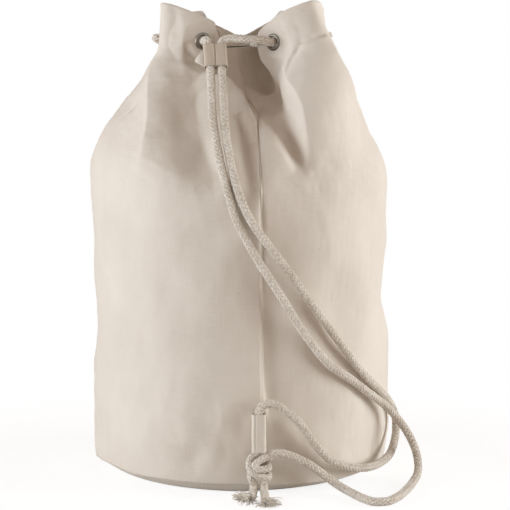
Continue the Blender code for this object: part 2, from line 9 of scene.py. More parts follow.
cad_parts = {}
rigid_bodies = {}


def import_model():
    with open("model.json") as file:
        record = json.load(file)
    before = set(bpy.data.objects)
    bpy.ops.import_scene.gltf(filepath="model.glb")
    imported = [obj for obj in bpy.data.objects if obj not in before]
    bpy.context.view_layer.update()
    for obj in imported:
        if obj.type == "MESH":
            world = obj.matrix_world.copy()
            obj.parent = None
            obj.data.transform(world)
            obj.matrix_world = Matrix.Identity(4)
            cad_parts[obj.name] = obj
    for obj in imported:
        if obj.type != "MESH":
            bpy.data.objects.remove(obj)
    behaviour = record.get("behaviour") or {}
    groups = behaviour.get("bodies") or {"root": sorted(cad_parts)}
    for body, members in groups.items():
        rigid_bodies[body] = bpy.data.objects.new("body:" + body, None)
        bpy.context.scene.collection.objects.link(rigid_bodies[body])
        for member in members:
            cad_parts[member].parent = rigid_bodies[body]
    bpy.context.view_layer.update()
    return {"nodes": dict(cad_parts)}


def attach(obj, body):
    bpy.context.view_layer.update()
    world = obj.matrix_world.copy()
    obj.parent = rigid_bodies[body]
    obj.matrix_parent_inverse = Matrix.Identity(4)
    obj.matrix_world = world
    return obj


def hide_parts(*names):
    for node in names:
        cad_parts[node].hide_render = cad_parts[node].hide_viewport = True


for startupObject in list(bpy.data.objects):
    bpy.data.objects.remove(startupObject, do_unlink=True)
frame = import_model()
mm = 0.001
print("frame loaded:", len(frame["nodes"]), "parts")


# Small helpers


def hexColour(code):
    # an sRGB hex value as Blender's linear colour
    shares = [int(code[at:at + 2], 16) / 255 for at in (1, 3, 5)]
    linear = [share / 12.92 if share <= 0.04045 else ((share + 0.055) / 1.055) ** 2.4 for share in shares]
    return (*linear, 1.0)


def addNode(tree, kind, inputs=(), **settings):
    # Inputs come by name or number, or as a list in their order. Each is a value, a socket to link
    # from, or a node, whose first output is linked.
    node = tree.nodes.new(kind)
    for name, value in settings.items():
        setattr(node, name, value)
    for name, value in inputs.items() if isinstance(inputs, dict) else enumerate(inputs):
        source = value.outputs[0] if isinstance(value, bpy.types.Node) else value
        if isinstance(source, bpy.types.NodeSocket):
            tree.links.new(source, node.inputs[name])
        else:
            node.inputs[name].default_value = source
    return node


def newMaterial(name):
    material = bpy.data.materials.new(name)
    material.use_nodes = True
    material.node_tree.nodes.clear()
    return material, material.node_tree


def newObject(name, data):
    thing = bpy.data.objects.new(name, data)
    bpy.context.scene.collection.objects.link(thing)
    return thing


def meshObject(name, points, faces, material, uv=None, smooth=True):
    mesh = bpy.data.meshes.new(name)
    mesh.from_pydata(np.asarray(points, float).tolist(), [], [list(map(int, face)) for face in faces])
    if smooth:
        mesh.shade_smooth()
    if uv is not None:  # one place on the cloth for each point, in metres
        layer = mesh.uv_layers.new(name="UVMap")
        corners = np.empty(len(mesh.loops), dtype=np.int32)
        mesh.loops.foreach_get("vertex_index", corners)
        layer.data.foreach_set("uv", np.asarray(uv, float)[corners].ravel())
    mesh.materials.append(material)
    return newObject(name, mesh)


def gridFaces(columns, rows, closed, start=0, flip=False, ring=False):
    # quads of a grid that is stored column by column: closed joins its last column to its first,
    # and ring its last row to its first
    faces = []
    for column in range(columns if closed else columns - 1):
        here, there = start + column * rows, start + (column + 1) % columns * rows
        for row in range(rows if ring else rows - 1):
            after = (row + 1) % rows
            face = (here + row, there + row, there + after, here + after)
            faces.append(face[::-1] if flip else face)
    return faces


def clothFaces(columns, rows, closed):
    # an outer grid and an inner one of the same size, joined along their edges as thick cloth is
    start, last = columns * rows, (columns - 1) * rows
    faces = gridFaces(columns, rows, closed) + gridFaces(columns, rows, closed, start, flip=True)
    for column in range(columns if closed else columns - 1):
        low, nextLow = column * rows, (column + 1) % columns * rows
        top, nextTop = low + rows - 1, nextLow + rows - 1
        faces.append((nextLow, low, start + low, start + nextLow))
        faces.append((top, nextTop, start + nextTop, start + top))
    for row in range(0 if closed else rows - 1):
        faces.append((row, row + 1, start + row + 1, start + row))
        faces.append((last + row + 1, last + row, start + last + row, start + last + row + 1))
    return faces


def smoothRows(rows, place, closed=False):
    # Catmull-Rom through the rows; place counts spans from the first
    count = len(rows) if closed else len(rows) - 1
    span = np.clip(np.floor(place).astype(int), 0, count - 1)
    part = (place - span)[:, None]
    near = [span + step for step in (-1, 0, 1, 2)]
    a, b, c, d = (rows[at % len(rows) if closed else np.clip(at, 0, len(rows) - 1)] for at in near)
    square = (2 * a - 5 * b + 4 * c - d) * part**2
    return 0.5 * (2 * b + (c - a) * part + square + (3 * b - a - 3 * c + d) * part**3)


def evenPath(points, spacing, spanSteps=24):
    # points this far apart along the smooth curve through the given ones
    points = np.asarray(points, float)
    spans = len(points) - 1
    dense = smoothRows(points, np.linspace(0, spans, spans * spanSteps + 1))
    reach = np.concatenate([[0], np.cumsum(np.linalg.norm(np.diff(dense, axis=0), axis=1))])
    steps = np.linspace(0, reach[-1], max(2, round(reach[-1] / spacing) + 1))
    return np.column_stack([np.interp(steps, reach, dense[:, axis]) for axis in range(3)])


def pathMesh(name, points):
    # a chain of edges for Geometry Nodes to follow
    mesh = bpy.data.meshes.new(name)
    edges = [(at, at + 1) for at in range(len(points) - 1)]
    mesh.from_pydata(np.asarray(points, float).tolist(), edges, [])
    return newObject(name, mesh)


def joined(name, things):
    # one mesh object out of several
    shape = bmesh.new()
    materials = []
    for thing in things:
        before = len(shape.faces)
        shape.from_mesh(thing.data)
        shape.faces.ensure_lookup_table()
        own = list(thing.data.materials)
        for face in shape.faces[before:]:
            material = own[min(face.material_index, len(own) - 1)]
            if material not in materials:
                materials.append(material)
            face.material_index = materials.index(material)
        bpy.data.objects.remove(thing, do_unlink=True)
    mesh = bpy.data.meshes.new(name)
    shape.to_mesh(mesh)
    shape.free()
    for material in materials:
        mesh.materials.append(material)
    return newObject(name, mesh)


def newTree(name, sizes):
    # A Geometry Nodes tree that follows a chain of edges. Its inputs have names and usual values, and
    # None stands for a material.
    kinds = {float: "NodeSocketFloat", int: "NodeSocketInt", type(None): "NodeSocketMaterial"}
    tree = bpy.data.node_groups.new(name, "GeometryNodeTree")
    tree.is_modifier = True
    for way in ("INPUT", "OUTPUT"):
        tree.interface.new_socket("Geometry", in_out=way, socket_type="NodeSocketGeometry")
    for label, value in sizes.items():
        socket = tree.interface.new_socket(label, in_out="INPUT", socket_type=kinds[type(value)])
        if value is not None:
            socket.default_value = value
    got = addNode(tree, "NodeGroupInput").outputs
    return tree, got, addNode(tree, "GeometryNodeMeshToCurve", {"Mesh": got["Geometry"]})


def endTree(tree, geometry, material):
    # the export drops instances, so they are made real before the material is set
    real = addNode(tree, "GeometryNodeRealizeInstances", [geometry])
    dressed = addNode(tree, "GeometryNodeSetMaterial", {"Geometry": real, "Material": material})
    addNode(tree, "NodeGroupOutput", [dressed])
    return tree


def grown(name, source, tree, inputs):
    # lets a Geometry Nodes tree work on a source and keeps the result as a plain mesh
    modifier = source.modifiers.new(tree.name, "NODES")
    modifier.node_group = tree
    sockets = {item.name: item.identifier for item in tree.interface.items_tree if item.in_out == "INPUT"}
    for key, value in inputs.items():
        modifier[sockets[key]] = value
    source.update_tag()
    evaluated = source.evaluated_get(bpy.context.evaluated_depsgraph_get())
    mesh = bpy.data.meshes.new_from_object(evaluated)
    mesh.name = name
    bpy.data.objects.remove(source, do_unlink=True)
    return newObject(name, mesh)


# Camera, floor and light

view = {
    "place": (0.014, -1.9903, 0.3999),
    "pitchDown": 5.65,
    "lens": 148.55,
    "sensor": 36.0,
}
camera = newObject("camera", bpy.data.cameras.new("camera"))
camera.data.lens = view["lens"]
camera.data.sensor_width = view["sensor"]
camera.location = view["place"]
camera.rotation_euler = (math.radians(90 - view["pitchDown"]), 0, 0)
bpy.context.scene.camera = camera

studio = {
    "worldFront": 0.115,
    "worldSide": 0.56,
    "worldColour": "#FFE7D2",
    "floorHalf": 6.0,
    "floorGlow": 0.84,  # as the camera sees it, so that an unshaded floor is white
    "floorNear": 0.24,
    "floorFar": 0.46,
    "cardColour": "#E4E2DF",
    "cardSeen": "#918F8D",  # what the camera sees beside the bag, under the glow
    "lampAim": (0, 0, 0.22),
    "lamps": (
        # name, place, size, watts, colour
        ("leftSoftbox", (-2.0, -0.90, 0.50), 1.1, 35.0, "#EFF8FF"),
        ("rightSoftbox", (2.2, -0.30, 0.55), 1.2, 37.5, "#F5FCFF"),
        ("frontFill", (0.9, -3.2, 1.0), 1.6, 3.0, "#FFE6D0"),
    ),
}

scene = bpy.context.scene
scene.view_settings.view_transform = "Standard"
scene.world = bpy.data.worlds.new("studio")
scene.world.use_nodes = True
air = scene.world.node_tree
air.nodes.clear()
airRays = addNode(air, "ShaderNodeLightPath").outputs
seen = airRays["Is Camera Ray"]
for otherRay in ("Is Glossy Ray", "Is Transmission Ray"):
    seen = addNode(air, "ShaderNodeMath", [seen, airRays[otherRay]], operation="MAXIMUM").outputs[0]
# a light tent: bright walls left and right, and darker towards the front
airWay = addNode(air, "ShaderNodeTexCoord").outputs["Generated"]
sideways = addNode(air, "ShaderNodeSeparateXYZ", [airWay])
sideways = addNode(air, "ShaderNodeMath", [sideways], operation="ABSOLUTE")
tent = addNode(air, "ShaderNodeMapRange", {
    "Value": sideways, "To Min": studio["worldFront"], "To Max": studio["worldSide"]})
strength = addNode(air, "ShaderNodeMapRange", {"Value": seen, "To Min": tent, "To Max": 1.0})
airColour = addNode(air, "ShaderNodeMix", {
    0: seen, 6: hexColour(studio["worldColour"]), 7: (1, 1, 1, 1)}, data_type="RGBA").outputs[2]
airShader = addNode(air, "ShaderNodeBackground", {"Color": airColour, "Strength": strength})
addNode(air, "ShaderNodeOutputWorld", {"Surface": airShader})

for lampName, place, size, watts, colour in studio["lamps"]:
    lamp = bpy.data.lights.new(lampName, "AREA")
    lamp.shape = "SQUARE"
    lamp.size = size
    lamp.energy = watts
    lamp.color = hexColour(colour)[:3]
    lampObject = newObject(lampName, lamp)
    lampObject.location = place
    aim = Vector(studio["lampAim"]) - Vector(place)
    lampObject.rotation_euler = aim.to_track_quat("-Z", "Y").to_euler()

# Matt white card: the camera sees it white, and it keeps the bag's soft shadow
floorCard, card = newMaterial("matt white card")
cardSeen = addNode(card, "ShaderNodeLightPath").outputs["Is Camera Ray"]
cardPlace = addNode(card, "ShaderNodeTexCoord").outputs["Object"]
away = addNode(card, "ShaderNodeVectorMath", [cardPlace], operation="LENGTH").outputs["Value"]
far = addNode(card, "ShaderNodeMapRange", {
    "Value": away, "From Min": studio["floorNear"], "From Max": studio["floorFar"]})
seenColour = addNode(card, "ShaderNodeMix", {
    0: far, 6: hexColour(studio["cardSeen"]), 7: hexColour("#000000")}, data_type="RGBA").outputs[2]
cardColour = addNode(card, "ShaderNodeMix", {
    0: cardSeen, 6: hexColour(studio["cardColour"]), 7: seenColour}, data_type="RGBA").outputs[2]
glow = addNode(card, "ShaderNodeMapRange", {"Value": far, "To Min": studio["floorGlow"], "To Max": 1.0})
cardGlow = addNode(card, "ShaderNodeMath", [glow, cardSeen], operation="MULTIPLY")
cardShader = addNode(card, "ShaderNodeBsdfPrincipled", {
    "Base Color": cardColour, "Emission Color": (1, 1, 1, 1), "Emission Strength": cardGlow,
    "Roughness": 0.9, "Specular IOR Level": 0.0})
addNode(card, "ShaderNodeOutputMaterial", {"Surface": cardShader})
half = studio["floorHalf"]
corners = [(-half, -half, 0), (half, -half, 0), (half, half, 0), (-half, half, 0)]
floor = meshObject("floor", corners, [(0, 1, 2, 3)], floorCard, smooth=False)
print("camera, floor and lamps placed")


# Materials

duck = {
    "thread": 1.05,  # mm between threads: real duck has 0.6, drawn coarser so that it shows
    "light": "#E8DFD5",
    "dark": "#E0D6CB",
    "weft": "#EBE3D9",
    "fleck": "#8F7B66",
}


def cottonDuck(name, light, dark, weft):
    # Cotton duck, plain woven and unbleached: a matt, slightly uneven ecru with the odd seed fleck.
    material, tree = newMaterial(name)
    place = addNode(tree, "ShaderNodeUVMap", uv_map="UVMap")
    spot = addNode(tree, "ShaderNodeTexCoord").outputs["Object"]
    # slubs: threads that are thicker for a stretch, so both ways get noise of about 0.7 by 17 mm
    slubs = []
    for stretch in ((1400, 60, 1), (60, 1400, 1)):
        drawn = addNode(tree, "ShaderNodeMapping", {"Vector": place, "Scale": stretch})
        slubs.append(addNode(tree, "ShaderNodeTexNoise", {"Vector": drawn, "Scale": 1.0, "Detail": 2.0}))
    slub = addNode(tree, "ShaderNodeMath", slubs, operation="ADD")
    tone = addNode(tree, "ShaderNodeTexNoise", {"Vector": spot, "Scale": 14.0, "Detail": 3.0})
    toneShare = addNode(tree, "ShaderNodeMapRange", {"Value": tone, "From Min": 0.35, "From Max": 0.65})
    slubShare = addNode(tree, "ShaderNodeMapRange", {"Value": slub, "From Min": 0.85, "From Max": 1.6})
    ground = addNode(tree, "ShaderNodeMix", {
        0: toneShare, 6: hexColour(dark), 7: hexColour(light)}, data_type="RGBA").outputs[2]
    threads = addNode(tree, "ShaderNodeMix", {
        0: slubShare, 6: ground, 7: hexColour(weft)}, data_type="RGBA").outputs[2]
    # seed flecks, a few to the square decimetre and about 0.5 mm across
    seeds = addNode(tree, "ShaderNodeTexVoronoi", {"Vector": spot, "Scale": 70.0}, feature="F1").outputs
    fleckSize = addNode(tree, "ShaderNodeMapRange", {
        "Value": seeds["Distance"], "From Min": 0.018, "From Max": 0.045, "To Min": 1.0, "To Max": 0.0})
    some = addNode(tree, "ShaderNodeSeparateColor", [seeds["Color"]])
    chosen = addNode(tree, "ShaderNodeMath", [some, 0.93], operation="GREATER_THAN")
    fleck = addNode(tree, "ShaderNodeMath", [fleckSize, chosen], operation="MULTIPLY")
    faded = addNode(tree, "ShaderNodeMath", [fleck, 0.55], operation="MULTIPLY")
    colour = addNode(tree, "ShaderNodeMix", {
        0: faded, 6: threads, 7: hexColour(duck["fleck"])}, data_type="RGBA").outputs[2]
    # the weave: warp and filling bumps that swap from one thread crossing to the next
    repeat = 1 / (duck["thread"] * mm)
    cells = addNode(tree, "ShaderNodeMapping", {"Vector": place, "Scale": (repeat, repeat, 1)})
    wobble = addNode(tree, "ShaderNodeTexNoise", {"Vector": place, "Scale": 160.0, "Detail": 1.0})
    sway = addNode(tree, "ShaderNodeVectorMath", [wobble.outputs["Color"], (0.9, 0.9, 0.0), cells],
                   operation="MULTIPLY_ADD")
    checks = addNode(tree, "ShaderNodeTexChecker", {
        "Vector": sway, "Scale": 1.0, "Color1": (1, 1, 1, 1), "Color2": (0, 0, 0, 1)})
    parts = addNode(tree, "ShaderNodeSeparateXYZ", [sway]).outputs
    bumps = []
    for axis in (0, 1):
        turn = addNode(tree, "ShaderNodeMath", [parts[axis], math.pi], operation="MULTIPLY")
        wave = addNode(tree, "ShaderNodeMath", [turn], operation="SINE")
        bumps.append(addNode(tree, "ShaderNodeMath", [wave], operation="ABSOLUTE"))
    weave = addNode(tree, "ShaderNodeMix", {
        0: checks.outputs["Fac"], 2: bumps[0], 3: bumps[1]}, data_type="FLOAT")
    height = addNode(tree, "ShaderNodeMath", [slub, 0.7, weave], operation="MULTIPLY_ADD")
    bump = addNode(tree, "ShaderNodeBump", {"Height": height, "Strength": 0.4, "Distance": 0.00018})
    rough = addNode(tree, "ShaderNodeMapRange", {"Value": tone, "To Min": 0.82, "To Max": 0.95})
    shader = addNode(tree, "ShaderNodeBsdfPrincipled", {
        "Base Color": colour, "Roughness": rough, "Normal": bump, "Specular IOR Level": 0.18,
        "Sheen Weight": 0.12, "Sheen Roughness": 0.5})
    addNode(tree, "ShaderNodeOutputMaterial", {"Surface": shader})
    return material


def cottonYarn(name, light, dark, grain):
    # Spun cotton yarn: soft and matt, with fine fibres running along it and a mottled tone
    material, tree = newMaterial(name)
    spot = addNode(tree, "ShaderNodeTexCoord").outputs["Object"]
    mottle = addNode(tree, "ShaderNodeTexNoise", {"Vector": spot, "Scale": 420.0, "Detail": 3.0})
    wide = addNode(tree, "ShaderNodeTexNoise", {"Vector": spot, "Scale": 60.0, "Detail": 2.0})
    both = addNode(tree, "ShaderNodeMath", [wide, 0.5, mottle], operation="MULTIPLY_ADD")
    share = addNode(tree, "ShaderNodeMapRange", {"Value": both, "From Min": 0.55, "From Max": 0.95})
    colour = addNode(tree, "ShaderNodeMix", {
        0: share, 6: hexColour(dark), 7: hexColour(light)}, data_type="RGBA").outputs[2]
    fibres = addNode(tree, "ShaderNodeTexNoise", {"Vector": spot, "Scale": 2600.0, "Detail": 2.0})
    bump = addNode(tree, "ShaderNodeBump", {"Height": fibres, "Strength": grain, "Distance": 0.0003})
    shader = addNode(tree, "ShaderNodeBsdfPrincipled", {
        "Base Color": colour, "Normal": bump, "Roughness": 0.92, "Specular IOR Level": 0.15,
        "Sheen Weight": 0.25, "Sheen Roughness": 0.5})
    addNode(tree, "ShaderNodeOutputMaterial", {"Surface": shader})
    return material


def nickelPlate(name, light, dark):
    # Nickel-plated brass, stamped and rolled: a grey metal with soft reflections, duller in its grain
    material, tree = newMaterial(name)
    spot = addNode(tree, "ShaderNodeTexCoord").outputs["Object"]
    wear = addNode(tree, "ShaderNodeTexNoise", {"Vector": spot, "Scale": 500.0, "Detail": 4.0})
    colour = addNode(tree, "ShaderNodeMix", {
        0: wear, 6: hexColour(dark), 7: hexColour(light)}, data_type="RGBA").outputs[2]
    rough = addNode(tree, "ShaderNodeMapRange", {"Value": wear, "To Min": 0.18, "To Max": 0.42})
    bump = addNode(tree, "ShaderNodeBump", {"Height": wear, "Strength": 0.15, "Distance": 0.0002})
    shader = addNode(tree, "ShaderNodeBsdfPrincipled", {
        "Base Color": colour, "Roughness": rough, "Normal": bump, "Metallic": 1.0})
    addNode(tree, "ShaderNodeOutputMaterial", {"Surface": shader})
    return material


ecruDuck = cottonDuck("unbleached cotton duck, plain woven", duck["light"], duck["dark"], duck["weft"])
# the base's canvas: painted light, lighter than the wall's to offset the shade it lies in
baseDuckPaintedLight = cottonDuck("unbleached cotton duck, base, painted lighter", "#F2E9DF", "#EBE1D6", "#F5EDE3")
# the slider's folded canvas: painted shade, a shade darker and warmer than the bag's canvas to stand in for
# the shade it sits in
sliderDuckPaintedShade = cottonDuck("cotton canvas, folded, painted shade", "#D3C6B6", "#C9BBAA", "#D8CCBD")
ropeCotton = cottonYarn("braided cotton rope", "#EFE8DF", "#D3C7BA", 0.6)
looseCotton = cottonYarn("frayed cotton fibre", "#FBF7F0", "#EBE2D7", 0.3)
threadCotton = cottonYarn("cotton sewing thread", "#E9DFD2", "#DDD0C0", 0.2)
# the metal's colours are painted dark: painted reflection, standing in for the dark surroundings the rings
# would mirror
nickel = nickelPlate("nickel plated brass, rolled, painted dark", "#8F887E", "#6A645C")
print("materials made")


# The canvas bag: one wall of cloth, gathered at the mouth by the rope into four lobes

bag = {
    "radius": 141 * mm,
    "baseRadius": 137 * mm,
    "baseSeam": 8 * mm,
    "flare": 70 * mm,  # height under which the wall draws in to the base
    "wall": 442 * mm,
    "power": 1.5,  # how the cloth comes in towards the mouth: more is later and sharper
    "bend": 0.09,  # softness of the turn from coming in to going straight up
    "drawnMost": 1.4,
    "canvas": 1.1 * mm,
    "hem": 40 * mm,
    "crest": 0.7 * mm,  # how round the hem's fold stands
    "eyelets": 8,
    "eyeletDrop": 22 * mm,
    "eyeletFlat": 19 * mm,
    "frontColumns": 208,
    "otherColumns": 136,
    "rowsBelow": 52,
    "rowsAbove": 120,
    "rowsCrowd": 1.25,  # the lowest rows lie closer together
    "ropePress": 0.35 * mm,
    # how far apart two points lie that give a surface's direction
    "turnStep": 0.0008,
    "heightStep": 0.0007,
    "seatStep": 0.001,
}

# even steps of cloth from the middle of the front: angle in degrees, then shares: mouth radius
# of the body's, shoulder and rim height of the wall's, and how high the cloth has come right in
mouthTable = np.array([
    (17.0, 0.290, 0.611, 0.9140, 0.85),
    (23.0, 0.555, 0.611, 0.9640, 0.78),
    (38.0, 0.760, 0.606, 0.9977, 0.98),
    (64.0, 0.600, 0.606, 0.9774, 0.84),
    (88.0, 0.430, 0.611, 0.9367, 0.88),
    (118.0, 0.500, 0.624, 0.9661, 0.80),
    (151.0, 0.570, 0.633, 0.9819, 0.90),
    (164.0, 0.510, 0.638, 0.9615, 0.80),
    (180.0, 0.340, 0.643, 0.9231, 0.90),
    (196.0, 0.510, 0.647, 0.9615, 0.80),
    (209.0, 0.570, 0.652, 0.9819, 0.90),
    (244.0, 0.500, 0.656, 0.9661, 0.80),
    (272.0, 0.430, 0.656, 0.9367, 0.88),
    (294.0, 0.560, 0.647, 0.9729, 0.80),
    (314.0, 0.685, 0.624, 0.9932, 0.74),
    (335.5, 0.567, 0.611, 0.9661, 0.78),
])
mouthAngle = np.radians(mouthTable[:, 0])
mouthRows = np.column_stack([
    np.sin(mouthAngle) * bag["radius"] * mouthTable[:, 1],
    -np.cos(mouthAngle) * bag["radius"] * mouthTable[:, 1],
    mouthTable[:, 2] * bag["wall"],
    mouthTable[:, 3] * bag["wall"],
    mouthTable[:, 4],
])

# thousandths of a turn and mm: how far the foot's seam rises and falls round the bag, and how the
# hem sags between the back eyelets
footRise = np.array([
    (-360, 4), (-250, 3), (-208, 7), (-167, 7), (-125, 3.5), (-83, 3), (-28, 2), (0, 2), (28, 1), (61, -0.5),
    (97, -0.5), (125, 0.5), (167, 3), (208, 7.5), (250, 6), (360, 5), (500, 4),
], float)
rimSag = np.array([
    (375, 0), (400, -7), (437, -6), (469, -3), (500, 0), (531, -3), (562, -6), (600, -8), (625, 0),
], float)


def mouthAt(turn):
    return smoothRows(mouthRows, (np.asarray(turn, float) % 1) * len(mouthRows), closed=True)


def gatheredPoint(turn, height):
    # the smooth bag: a cylinder up to the shoulder, then drawn in towards the mouth
    turn, height = np.broadcast_arrays(np.asarray(turn, float), np.asarray(height, float))
    mouth = mouthAt(turn)
    angle = 2 * np.pi * turn
    below = np.maximum(0, bag["flare"] - height) / (bag["flare"] - bag["baseSeam"])
    reach = bag["radius"] - (bag["radius"] - bag["baseRadius"]) * below**2
    wall = np.column_stack([np.sin(angle), -np.cos(angle)]) * reach[:, None]
    above = (height - mouth[:, 2]) / (mouth[:, 3] - mouth[:, 2]) / mouth[:, 4]
    drawn = np.clip(above, 0, bag["drawnMost"]) ** bag["power"]
    # the two stretches meet in a soft bend rather than a crease
    bend = bag["bend"]
    mix = np.clip(0.5 + 0.5 * (1 - drawn) / bend, 0, 1)
    drawn = (drawn * mix + 1 - mix - bend * mix * (1 - mix))[:, None]
    return np.column_stack([wall * (1 - drawn) + mouth[:, :2] * drawn, height])


def findSeats():
    # centre and way out of each eyelet, from the right of the front round to the left
    found = []
    for number in range(bag["eyelets"]):
        turn = (number + 0.5) / bag["eyelets"]
        near = mouthAt([turn - bag["seatStep"], turn, turn + bag["seatStep"]])
        along = near[2, :2] - near[0, :2]
        outward = np.array([along[1], -along[0], 0]) / np.linalg.norm(along)
        centre = gatheredPoint([turn], [near[1, 3] - bag["eyeletDrop"]])[0]
        found.append((centre, outward))
    return found


seats = findSeats()


def plainPoint(turn, height):
    # the bag with each eyelet's surround drawn flat by the metal
    points = gatheredPoint(turn, height)
    for centre, outward in seats:
        away = points - centre
        lift = away @ outward
        reach = np.linalg.norm(away - lift[:, None] * outward, axis=1)
        fade = np.clip(3 - 2 * reach / bag["eyeletFlat"], 0, 1)
        fade = fade * np.clip(2 - np.abs(lift) / bag["eyeletFlat"], 0, 1)
        points -= (lift * fade)[:, None] * outward
    return points


def footSeam(turn):
    place = (np.asarray(turn, float) + 0.5) % 1 * 1000 - 500
    place = np.where(place < footRise[0, 0], 1000 + place, place)
    return bag["baseSeam"] + np.interp(place, footRise[:, 0], footRise[:, 1]) * mm


def outwardOf(surface, turn, height):
    turn, height = np.broadcast_arrays(np.asarray(turn, float), np.asarray(height, float))
    across = surface(turn + bag["turnStep"], height) - surface(turn - bag["turnStep"], height)
    up = surface(turn, height + bag["heightStep"]) - surface(turn, height - bag["heightStep"])
    out = np.cross(across, up)
    return out / np.maximum(np.linalg.norm(out, axis=1, keepdims=True), 1e-12)


